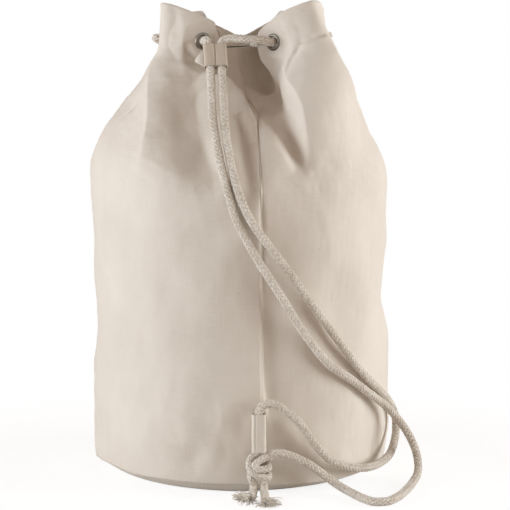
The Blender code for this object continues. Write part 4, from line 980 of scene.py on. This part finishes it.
def tuftTree():
    # A frayed end: fine fibres that start within the rope's end and spread along a short stem
    tree, got, line = newTree("frayedFibres", {
        "Fibres": 150, "Start radius": 0.003, "Spread": 0.008, "Curl": 0.002, "Flatness": 0.5,
        "Thickness": 0.00018, "Floor": 0.0003, "Seed": 1, "Material": None,
    })
    fine = addNode(tree, "GeometryNodeResampleCurve", {"Count": 7, "Curve": line}, mode="COUNT")
    many = addNode(tree, "GeometryNodeDuplicateElements", {
        "Geometry": fine, "Amount": got["Fibres"]}, domain="SPLINE")
    index = many.outputs["Duplicate Index"]
    along = addNode(tree, "GeometryNodeSplineParameter").outputs["Factor"]

    def dice(low, high, extra):
        seed = addNode(tree, "ShaderNodeMath", [got["Seed"], float(extra)], operation="ADD")
        return addNode(tree, "FunctionNodeRandomValue", {
            "Min": low, "Max": high, "ID": index, "Seed": seed}, data_type="FLOAT_VECTOR").outputs[0]

    start = addNode(tree, "ShaderNodeVectorMath", {
        0: dice((-1, -1, -1), (1, 1, 1), 0), "Scale": got["Start radius"]}, operation="SCALE")
    squash = addNode(tree, "ShaderNodeCombineXYZ", [1.0, 1.0, got["Flatness"]])
    spread = addNode(tree, "ShaderNodeVectorMath", [
        dice((-1, -1, -1), (1, 1, 1), 10), squash], operation="MULTIPLY")
    spread = addNode(tree, "ShaderNodeVectorMath", {
        0: spread, "Scale": got["Spread"]}, operation="SCALE")
    opened = addNode(tree, "ShaderNodeMath", [along, 1.4], operation="POWER")
    spread = addNode(tree, "ShaderNodeVectorMath", {0: spread, "Scale": opened}, operation="SCALE")
    place = addNode(tree, "GeometryNodeInputPosition").outputs[0]
    apart = addNode(tree, "ShaderNodeVectorMath", {
        0: dice((0, 0, 0), (1, 1, 1), 20), "Scale": 40.0}, operation="SCALE")
    where = addNode(tree, "ShaderNodeVectorMath", [place, apart], operation="ADD")
    noise = addNode(tree, "ShaderNodeTexNoise", {"Scale": 130.0, "Detail": 1.0, "Vector": where})
    centred = addNode(tree, "ShaderNodeVectorMath", [
        noise.outputs["Color"], (0.5, 0.5, 0.5)], operation="SUBTRACT")
    curlSize = addNode(tree, "ShaderNodeMath", [got["Curl"], along], operation="MULTIPLY")
    curl = addNode(tree, "ShaderNodeVectorMath", {0: centred, "Scale": curlSize}, operation="SCALE")
    total = addNode(tree, "ShaderNodeVectorMath", [start, spread], operation="ADD")
    total = addNode(tree, "ShaderNodeVectorMath", [total, curl], operation="ADD")
    total = addNode(tree, "ShaderNodeVectorMath", [total, place], operation="ADD")
    parts = addNode(tree, "ShaderNodeSeparateXYZ", [total])
    high = addNode(tree, "ShaderNodeMath", [parts.outputs[2], got["Floor"]], operation="MAXIMUM")
    kept = addNode(tree, "ShaderNodeCombineXYZ", [parts, parts.outputs[1], high])
    moved = addNode(tree, "GeometryNodeSetPosition", {"Geometry": many, "Position": kept})
    fibreRound = addNode(tree, "GeometryNodeCurvePrimitiveCircle", {
        "Resolution": 4, "Radius": got["Thickness"]})
    tubes = addNode(tree, "GeometryNodeCurveToMesh", {
        "Fill Caps": True, "Curve": moved, "Profile Curve": fibreRound})
    return endTree(tree, tubes, got["Material"])


frayed = tuftTree()


def tuft(name, stem, fibres, spread, seed, startRadius=2.6, curl=11.0, flatness=0.4, thickness=0.3):
    # a tuft along a short stem; the sizes are in mm
    return grown(name, pathMesh(name + "Stem", np.array(stem, float) * mm), frayed, {
        "Fibres": fibres, "Start radius": startRadius * mm, "Spread": spread * mm, "Curl": curl * mm,
        "Flatness": flatness, "Thickness": thickness * mm, "Floor": 0.3 * mm, "Seed": seed,
        "Material": looseCotton,
    })


tuftLeft = joined("tuftLeft", [
    tuft("tuftLeftMain", [(10.6, -162, 4.4), (9.4, -166, 4.2), (8.0, -170, 3.6)], 110, 8.5, 21),
    tuft("tuftLeftSide", [(10.0, -160, 4.0), (4.0, -163, 4.6), (-0.5, -165, 5.2)], 70, 5.0, 22),
])
tuftRight = joined("tuftRight", [
    tuft("tuftRightMain", [(22.6, -176.5, 4.3), (22.8, -180, 3.6), (23.5, -184, 2.4)], 110, 8.0, 23),
    tuft("tuftRightSide", [(23.0, -175, 3.6), (27.0, -177, 3.4), (31.0, -179, 2.8)], 70, 4.5, 24),
])
ropeTuft = tuft("ropeTuft", [(12.4, -88.6, 404.6), (12.8, -90.2, 402.8), (13.4, -90.8, 401.6)], 34, 3.2, 25,
                startRadius=0.8, curl=4.0, flatness=0.8, thickness=0.16)
print("ends frayed:", len(tuftLeft.data.polygons))


def stitchTree():
    # A row of lockstitches: a short thick thread at even steps along a path, its ends dipping in
    tree, got, line = newTree("stitchRow", {
        "Pitch": 0.003, "Stitch share": 0.8, "Thread radius": 0.0003, "Unevenness": 0.1, "Seed": 1,
        "Material": None,
    })
    spots = addNode(tree, "GeometryNodeCurveToPoints", {
        "Curve": line, "Length": got["Pitch"]}, mode="LENGTH")
    facing = addNode(tree, "FunctionNodeAlignRotationToVector", {
        "Vector": spots.outputs["Tangent"]}, axis="X")
    halfLength = addNode(tree, "ShaderNodeMath", [
        got["Pitch"], got["Stitch share"]], operation="MULTIPLY")
    halfLength = addNode(tree, "ShaderNodeMath", [halfLength, 0.5], operation="MULTIPLY")
    low = addNode(tree, "ShaderNodeMath", [1.0, got["Unevenness"]], operation="SUBTRACT")
    dice = addNode(tree, "FunctionNodeRandomValue", {2: low, "Seed": got["Seed"]}, data_type="FLOAT")
    size = addNode(tree, "ShaderNodeCombineXYZ", [
        halfLength, got["Thread radius"], got["Thread radius"]])
    size = addNode(tree, "ShaderNodeVectorMath", {0: size, "Scale": dice.outputs[1]}, operation="SCALE")
    bead = addNode(tree, "GeometryNodeMeshUVSphere", {"Segments": 6, "Rings": 5, "Radius": 1.0})
    soft = addNode(tree, "GeometryNodeSetShadeSmooth", {"Geometry": bead, "Shade Smooth": True})
    turned = addNode(tree, "GeometryNodeTransform", {"Rotation": (0, math.pi / 2, 0), "Geometry": soft})
    sewn = addNode(tree, "GeometryNodeInstanceOnPoints", {
        "Points": spots, "Instance": turned, "Rotation": facing, "Scale": size})
    return endTree(tree, sewn, got["Material"])


sewing = stitchTree()


def stitched(name, points, pitch, thread, seed):
    return grown(name, pathMesh(name + "Line", points), sewing, {
        "Pitch": pitch * mm, "Stitch share": 0.82, "Thread radius": thread * mm, "Unevenness": 0.14,
        "Seed": seed, "Material": threadCotton,
    })


# Wall of the bag

frontTurns = np.linspace(-1 / 6, 1 / 6, bag["frontColumns"], endpoint=False)
otherTurns = np.linspace(1 / 6, 5 / 6, bag["otherColumns"], endpoint=False)
wallTurns = np.concatenate([frontTurns, otherTurns])
footRows = np.linspace(0, 1, bag["rowsBelow"], endpoint=False) ** bag["rowsCrowd"]


def rowHeights(turn):
    mouth = mouthAt([turn])[0]
    rim = mouth[3] + np.interp(turn % 1 * 1000, rimSag[:, 0], rimSag[:, 1]) * mm
    below = footSeam(turn) + (mouth[2] - footSeam(turn)) * footRows
    return np.concatenate([below, np.linspace(mouth[2], rim, bag["rowsAbove"])])


def halved(grid):
    # every other column and row, with the top row kept
    grid = grid[::2]
    return np.concatenate([grid[:, :-1:2], grid[:, -1:]], axis=1)


def buildWall():
    # the outer face, the round crest of the hem's fold and a coarser inner face, in one closed skin
    columns, rows = len(wallTurns), bag["rowsBelow"] + bag["rowsAbove"]
    heights = np.array([rowHeights(turn) for turn in wallTurns])
    turns = np.repeat(wallTurns, rows)
    outwards = outwardOf(plainPoint, turns, heights.ravel())
    outer = clothPoint(turns, heights.ravel())
    outer = pressed(outer, outwards, [leftPath, rightPath], rope["radius"] + bag["ropePress"])
    outer = outer.reshape(columns, rows, 3)
    outwards = outwards.reshape(outer.shape)
    layers = np.where(heights > heights[:, -1:] - bag["hem"], 2.0, 1.0)
    inner = halved(outer - outwards * (layers * bag["canvas"])[..., None])
    top = outer[:, -1]
    crest = 0.5 * (top + top - outwards[:, -1] * 2 * bag["canvas"]) + np.array((0, 0, bag["crest"]))
    innerColumns, innerRows = inner.shape[:2]
    crestStart = columns * rows
    innerStart = crestStart + columns
    faces = gridFaces(columns, rows, True) + gridFaces(innerColumns, innerRows, True, innerStart, flip=True)
    for column in range(columns):
        following = (column + 1) % columns
        faces.append((column * rows + rows - 1, following * rows + rows - 1, crestStart + following,
                      crestStart + column))
    for column in range(innerColumns):
        here, between, there = 2 * column, 2 * column + 1, (2 * column + 2) % columns
        low, nextLow = (innerStart + at % innerColumns * innerRows for at in (column, column + 1))
        high, nextHigh = low + innerRows - 1, nextLow + innerRows - 1
        faces.append((crestStart + here, crestStart + between, high))
        faces.append((crestStart + between, nextHigh, high))
        faces.append((crestStart + between, crestStart + there, nextHigh))
        faces.append((between * rows, here * rows, low))
        faces.append((between * rows, low, nextLow))
        faces.append((there * rows, between * rows, nextLow))
    width = 2 * np.pi * bag["radius"]
    turnGrid = turns.reshape(columns, rows)
    uv = [np.column_stack([turns * width, heights.ravel()])]
    uv.append(np.column_stack([wallTurns * width, heights[:, -1] + mm]))
    uv.append(np.column_stack([halved(turnGrid).ravel() * width, halved(heights).ravel()]))
    points = np.concatenate([outer.reshape(-1, 3), crest, inner.reshape(-1, 3)])
    return meshObject("canvasWall", points, faces, ecruDuck, np.concatenate(uv))


canvasWall = buildWall()
print("wall sculpted:", len(canvasWall.data.polygons), "faces")


# The base: a round of canvas with its edge turned up inside the wall

base = {
    "radius": 136.2 * mm,
    "flat": 120 * mm,  # how far out it lies flat at the front, and how much less elsewhere
    "flatLess": 10 * mm,
    "flatTurns": 0.12,
    "under": 0.4 * mm,
    "cornerPower": 1.35,
    "cornerWays": np.linspace(0.15, math.pi / 2, 9),
    "cornerShort": 0.2 * mm,  # of the seam
    "cornerLift": 0.9 * mm,  # the inner face's, above the outer one
    "lip": 9.5 * mm,
    "lipRadius": 134.9 * mm,
    "lipRound": 0.4 * mm,
    "lipStart": 0.6 * mm,
    "around": 240,
}


def buildBase():
    points, uv = [], []
    under, flatShares = base["under"], (0.15, 0.3, 0.45, 0.6, 0.75, 0.88, 1.0)
    lipOut, lipIn = base["lipRadius"], base["lipRadius"] - bag["canvas"]
    for column in range(base["around"]):
        turn = column / base["around"]
        angle = 2 * math.pi * turn
        seamHeight = float(footSeam(turn))
        fromFront = abs((turn + 0.5) % 1 - 0.5)
        flat = base["flat"] - base["flatLess"] * min(1.0, fromFront / base["flatTurns"])
        bottom = [(flat * share, under) for share in flatShares]
        bent = [math.sin(way) for way in base["cornerWays"]]
        rise = seamHeight - under - base["cornerShort"]
        corner = [(flat + (base["radius"] - flat) * share, under + rise * share ** base["cornerPower"])
                  for share in bent]
        low, high = seamHeight + base["lipStart"], seamHeight + base["lip"]
        lip = [(lipOut, low), (lipOut, high - base["lipRound"]), (lipOut - bag["canvas"] / 2, high),
               (lipIn, high - base["lipRound"]), (lipIn, low)]
        inside = [(radius - bag["canvas"], height + base["cornerLift"]) for radius, height in corner[::-1]]
        inside += [(radius, under + bag["canvas"]) for radius, height in bottom[::-1]]
        outline = bottom + corner + lip + inside
        for radius, height in outline:
            spot = (radius * math.sin(angle), -radius * math.cos(angle))
            points.append((*spot, height))
            uv.append(spot)
    rows = len(outline)
    faces = gridFaces(base["around"], rows, True)
    for height, row, flip in ((under, 0, True), (under + bag["canvas"], rows - 1, False)):
        points.append((0, 0, height))
        uv.append((0, 0))
        hub = len(points) - 1
        for column in range(base["around"]):
            here, there = column * rows + row, (column + 1) % base["around"] * rows + row
            faces.append((there, here, hub) if flip else (here, there, hub))
    return meshObject("baseRound", points, faces, baseDuckPaintedLight, uv)


baseRound = buildBase()
print("base made")


# The lapped side seam, down the front

seam = {
    # height in mm and thousandths of a turn
    "line": np.array([
        (8, 23.2), (82, 23.6), (180, 23.0), (266, 22.2), (320, 20.6), (334, 17.8), (344, 15.5), (352, 6.0),
        (358, -2.0), (372, -8.6), (387, -14.6), (401, -18.6), (412, -20.0),
    ]),
    # across and off the cloth in mm
    "profile": [
        (0.1, -0.9), (-0.45, -0.3), (-0.4, 0.45), (0.2, 0.8), (1.2, 0.6), (2.5, 0.35), (4.5, 0.15),
        (6.5, 0.0), (8.0, -0.3), (9.5, -0.9), (9.0, -1.2),
    ],
    "bottom": 8.5 * mm,
    "top": 402 * mm,
    "rows": 210,
    "ropePress": 0.1 * mm,
    "clothShift": 0.011,  # its own place in the weave
}


def seamTurn(height):
    return np.interp(height / mm, seam["line"][:, 0], seam["line"][:, 1]) / 1000


def onCloth(turn, height, across, lift):
    # a point this far across and off the cloth from a place on it
    step = bag["turnStep"]
    apart = clothPoint(turn + step, height) - clothPoint(turn - step, height)
    moved = turn + across / (np.linalg.norm(apart, axis=1) / (2 * step))
    return clothPoint(moved, height) + outwardOf(clothPoint, moved, height) * lift


def buildLap():
    heights = np.linspace(seam["bottom"], seam["top"], seam["rows"])
    turns = seamTurn(heights)
    rows, count = seam["rows"], len(seam["profile"])
    points, uv = [], []
    for across, lift in seam["profile"]:
        points.append(onCloth(turns, heights, across * mm, lift * mm))
        uv.append(np.column_stack([np.full(rows, across * mm + seam["clothShift"]), heights]))
    outwards = outwardOf(clothPoint, np.tile(turns, count), np.tile(heights, count))
    radius = rope["radius"] + seam["ropePress"]
    points = pressed(np.concatenate(points), outwards, [leftPath, rightPath], radius)
    faces = gridFaces(count, rows, True)
    faces.append([column * rows for column in range(count)][::-1])
    faces.append([column * rows + rows - 1 for column in range(count)])
    return meshObject("seamLap", points, faces, ecruDuck, np.concatenate(uv))


seamLap = buildLap()
print("seam lapped")


# Eyelets: a rolled grommet outside and a washer inside the hem

metal = {
    # closed outlines of (radius, height) in mm
    "rim": [
        (4.55, -2.2), (4.6, -0.6), (4.75, 0.7), (5.1, 1.35), (5.8, 1.62), (6.6, 1.45), (7.3, 1.0),
        (7.75, 0.45), (7.85, 0.12), (7.7, 0.05), (5.3, 0.05), (5.2, -2.9), (5.9, -3.6), (6.3, -3.9),
        (6.0, -4.3), (5.2, -4.2), (4.7, -3.6),
    ],
    "washer": [(5.6, -2.75), (8.1, -2.7), (8.35, -2.9), (8.2, -3.2), (7.0, -3.3), (5.6, -3.35)],
    "around": 44,
}


def spun(name, outline, centre, outward):
    # turns a closed outline about the eyelet's way out
    turned = Vector(outward).to_track_quat("Z", "Y").to_matrix()
    points = []
    for column in range(metal["around"]):
        angle = 2 * math.pi * column / metal["around"]
        for radius, height in outline:
            spot = turned @ Vector((radius * math.cos(angle), radius * math.sin(angle), height))
            points.append(Vector(centre) + spot * mm)
    thing = meshObject(name, points, gridFaces(metal["around"], len(outline), True, ring=True), nickel)
    shape = bmesh.new()
    shape.from_mesh(thing.data)
    bmesh.ops.recalc_face_normals(shape, faces=shape.faces)
    shape.to_mesh(thing.data)
    shape.free()
    return thing


grommets, washers = [], []
for number, (centre, outward) in enumerate(seats, start=1):
    grommets.append(spun(f"grommet{number}", metal["rim"], centre, outward))
    washers.append(spun(f"washer{number}", metal["washer"], centre, outward))
print("eyelets set")


# The slider: two canvas channels sewn side by side round the doubled rope, with a loose flap

slider = {
    "middle": Vector((-21.6, -90.0, 391.0)) * mm,
    "turned": Matrix((
        (0.99862, 0.02418, 0.04664),  # across the two channels
        (0.0, 0.88774, -0.46035),  # in towards the bag
        (-0.05253, 0.45972, 0.88651),  # back up the rope
    )).transposed(),
    "offset": 5.1,
    "bore": 4.5,
    "wall": 0.95,
    "length": 22.0,
    "around": 40,
    "rows": 30,
    "flare": 0.3,
    "flarePower": 6,
    "squareness": 0.7,  # of the front half
    "frontDepth": 0.97,
    "innerWaves": 0.6,
    "clothPerTurn": 0.005,
    "web": {"half": 2.6, "front": -5.0, "groove": 1.1, "grooveWide": 0.5, "thick": 1.2},
    "webColumns": 15,
    "webRows": 19,
    "flap": {
        "from": 4.9, "reach": 8.6, "low": 0.6, "lowRise": 6.6, "high": 18, "highDrop": 9.2, "thick": 0.9,
    },
    "flapColumns": 9,
    "flapRows": 11,
}


def sliderPlace(points):
    return [slider["middle"] + slider["turned"] @ (Vector(point) * mm) for point in points]


def channelTube(name, side):
    # one channel: a short sleeve with a flattened front, a little out of true and flared at its ends
    rows, around = slider["rows"], slider["around"]
    outer, inner = [], []
    for column in range(around):
        angle = 2 * math.pi * column / around
        c, s = math.cos(angle), math.sin(angle)
        square = (abs(c) ** 4 + abs(s) ** 4) ** (-1 / 4) if s < 0 else 1.0
        for row in range(rows):
            share = row / (rows - 1)
            height = (share - 0.5) * slider["length"]
            flare = slider["flare"] * (abs(share - 0.5) * 2) ** slider["flarePower"]
            wave = 0.13 * math.sin(3 * angle + 5 * share + side) + 0.1 * math.sin(9 * share + 2 * angle)
            for ring, radius, waves in ((outer, slider["bore"] + slider["wall"], 1),
                                        (inner, slider["bore"], slider["innerWaves"])):
                reach = (radius + flare + wave * waves) * (1 + slider["squareness"] * (square - 1))
                depth = reach * s * (slider["frontDepth"] if s < 0 else 1)
                ring.append((side * slider["offset"] + reach * c, depth, height))
    points = outer + inner
    uv = [(math.atan2(y, x) * slider["clothPerTurn"], z * mm) for x, y, z in points]
    return meshObject(name, sliderPlace(points), clothFaces(around, rows, True), sliderDuckPaintedShade, uv)


def slabPiece(name, grid, thick, material):
    # a small cloth patch from a grid of slider points, with its thickness
    front = [point for column in grid for point in column]
    points = front + [(x, y + thick, z) for x, y, z in front]
    uv = [(x * mm, z * mm) for x, y, z in points]
    return meshObject(name, sliderPlace(points), clothFaces(len(grid), len(grid[0]), False), material, uv)


def buildSlider():
    half = slider["length"] / 2
    # the channels and the web wear the slider's canvas, painted darker for shade
    pieces = [channelTube("leftChannel", -1), channelTube("rightChannel", 1)]
    web, grid = slider["web"], []
    heights = [-half + slider["length"] * row / (slider["webRows"] - 1) for row in range(slider["webRows"])]
    for x in np.linspace(-web["half"], web["half"], slider["webColumns"]):
        depth = web["front"] + web["groove"] * math.exp(-(x / web["grooveWide"]) ** 2)
        grid.append([(x, depth, height) for height in heights])
    pieces.append(slabPiece("sliderWeb", grid, web["thick"], sliderDuckPaintedShade))
    # the strip's loose end: turned out to the left, bulging forward and narrowing to its tip
    flap, grid = slider["flap"], []
    lastColumn, lastRow = slider["flapColumns"] - 1, slider["flapRows"] - 1
    for column in range(slider["flapColumns"]):
        share = column / lastColumn
        x = -slider["offset"] - flap["from"] - flap["reach"] * share
        low = -half + flap["low"] + flap["lowRise"] * share**1.4
        high = -half + flap["high"] - flap["highDrop"] * share
        depth = -2.2 + 2.4 * share - 1.2 * math.sin(math.pi * share)
        grid.append([(x, depth, low + (high - low) * row / lastRow) for row in range(lastRow + 1)])
    pieces.append(slabPiece("sliderFlap", grid[::-1], flap["thick"], ecruDuck))
    return joined("ropeSlider", pieces)


ropeSlider = buildSlider()
print("slider sewn")


# The anchor tab: a sleeve of folded canvas caught in the seam, in mm

tab = {
    "x": 17.4,
    "y": -147.5,
    "bottom": 41.6,
    "top": 76.1,
    "halfWidth": 6.5,
    "halfDepth": 6.4,
    "wall": 1.1,
    "shy": 0.15,
    "depthShare": 0.93,
    "flare": 0.18,
    "flarePower": 8,
    "groove": 0.45,  # the fold of the strap's edge shows as a groove near its left
    "grooveX": -2.9,
    "grooveWide": 0.6,
    "clothPerTurn": 0.0065,
    "around": 96,
    "rows": 40,
}


def buildTab():
    outer, inner = [], []
    for column in range(tab["around"]):
        angle = 2 * math.pi * column / tab["around"]
        c, s = math.cos(angle), math.sin(angle)
        square = (abs(c) ** 4 + abs(s) ** 4) ** (-1 / 4)
        for row in range(tab["rows"]):
            share = row / (tab["rows"] - 1)
            height = tab["bottom"] + (tab["top"] - tab["bottom"]) * share
            wave = 0.12 * math.sin(2 * angle + 4 * share) + 0.1 * math.sin(11 * share + angle)
            flare = tab["flare"] * (abs(share - 0.5) * 2) ** tab["flarePower"]
            for ring, less in ((outer, 0.0), (inner, tab["wall"])):
                wide = tab["halfWidth"] - less - tab["shy"] + flare + wave
                deep = tab["halfDepth"] - less - tab["shy"] + flare + wave
                reachX = wide * square * c
                reachY = deep * square * s * tab["depthShare"]
                if ring is outer and s < 0:
                    off = (reachX - tab["grooveX"]) / tab["grooveWide"]
                    reachY += tab["groove"] * math.exp(-off**2)
                ring.append(((tab["x"] + reachX) * mm, (tab["y"] + reachY) * mm, height * mm))
    points = outer + inner
    uv = [(math.atan2(y - tab["y"] * mm, x - tab["x"] * mm) * tab["clothPerTurn"], z) for x, y, z in points]
    return meshObject("anchorTab", points, clothFaces(tab["around"], tab["rows"], True), ecruDuck, uv)


anchorTab = buildTab()
print("tab made")


# Stitching: the lap, the foot's seam and the slider's groove

stitches = {
    "lap": {"pitch": 3.0, "thread": 0.24, "seed": 32},
    "lapEnds": (14 * mm, 330 * mm),
    "lapAcross": 1.9 * mm,
    "lapLift": 0.5 * mm,
    "lapPoints": 260,
    "foot": {"pitch": 3.0, "thread": 0.26, "seed": 33},
    "footAbove": 2.6 * mm,
    "footPoints": 600,
    "slider": {"pitch": 2.4, "thread": 0.26, "seed": 35},
    "sliderDepth": -4.15,
    "sliderHalf": 9.6,
    "sliderPoints": 24,
}
lapHeights = np.linspace(*stitches["lapEnds"], stitches["lapPoints"])
lapLine = onCloth(seamTurn(lapHeights), lapHeights, stitches["lapAcross"], stitches["lapLift"])
footTurns = np.linspace(0, 1, stitches["footPoints"])
footLine = clothPoint(footTurns, footSeam(footTurns) + stitches["footAbove"])
bagStitches = joined("bagStitches", [
    stitched("lapStitches", lapLine, **stitches["lap"]),
    stitched("footStitches", footLine, **stitches["foot"]),
])
grooveHeights = np.linspace(-stitches["sliderHalf"], stitches["sliderHalf"], stitches["sliderPoints"])
grooveLine = sliderPlace([(0, stitches["sliderDepth"], height) for height in grooveHeights])
sliderStitches = stitched("sliderStitches", grooveLine, **stitches["slider"])
print("stitched")


# Every piece rides on its body and stands for its part of the frame

for piece, body, slotName, nodes in (
    (canvasWall, "bag", "canvas", ["body_panel"]),
    (baseRound, "bag", "canvas_base", ["base_panel"]),
    (seamLap, "bag", "canvas", ["seam_lap"]),
    (anchorTab, "bag", "canvas", ["anchor_tab"]),
    (ropeSlider, "slider", "canvas", ["cord_slider"]),
    (mouthRope, "bag", "rope", ["drawcord"]),
    (strandLeft, "bag", "rope", ["strand_left"]),
    (strandRight, "bag", "rope", ["strand_right"]),
    (endKnot, "bag", "rope", ["end_knot"]),
    (tuftLeft, "bag", "rope", []),
    (tuftRight, "bag", "rope", []),
    (ropeTuft, "bag", "rope", []),
    (bagStitches, "bag", "canvas", []),
    (sliderStitches, "slider", "canvas", []),
    (tailLeft, "bag", "rope", ["tail_left"]),
    (tailRight, "bag", "rope", ["tail_right"]),
    *((thing, "bag", "nickel", [f"grommet_{at}"]) for at, thing in enumerate(grommets, start=1)),
    *((thing, "bag", "nickel", [f"washer_{at}"]) for at, thing in enumerate(washers, start=1)),
):
    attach(piece, body)
    if nodes:
        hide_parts(*nodes)
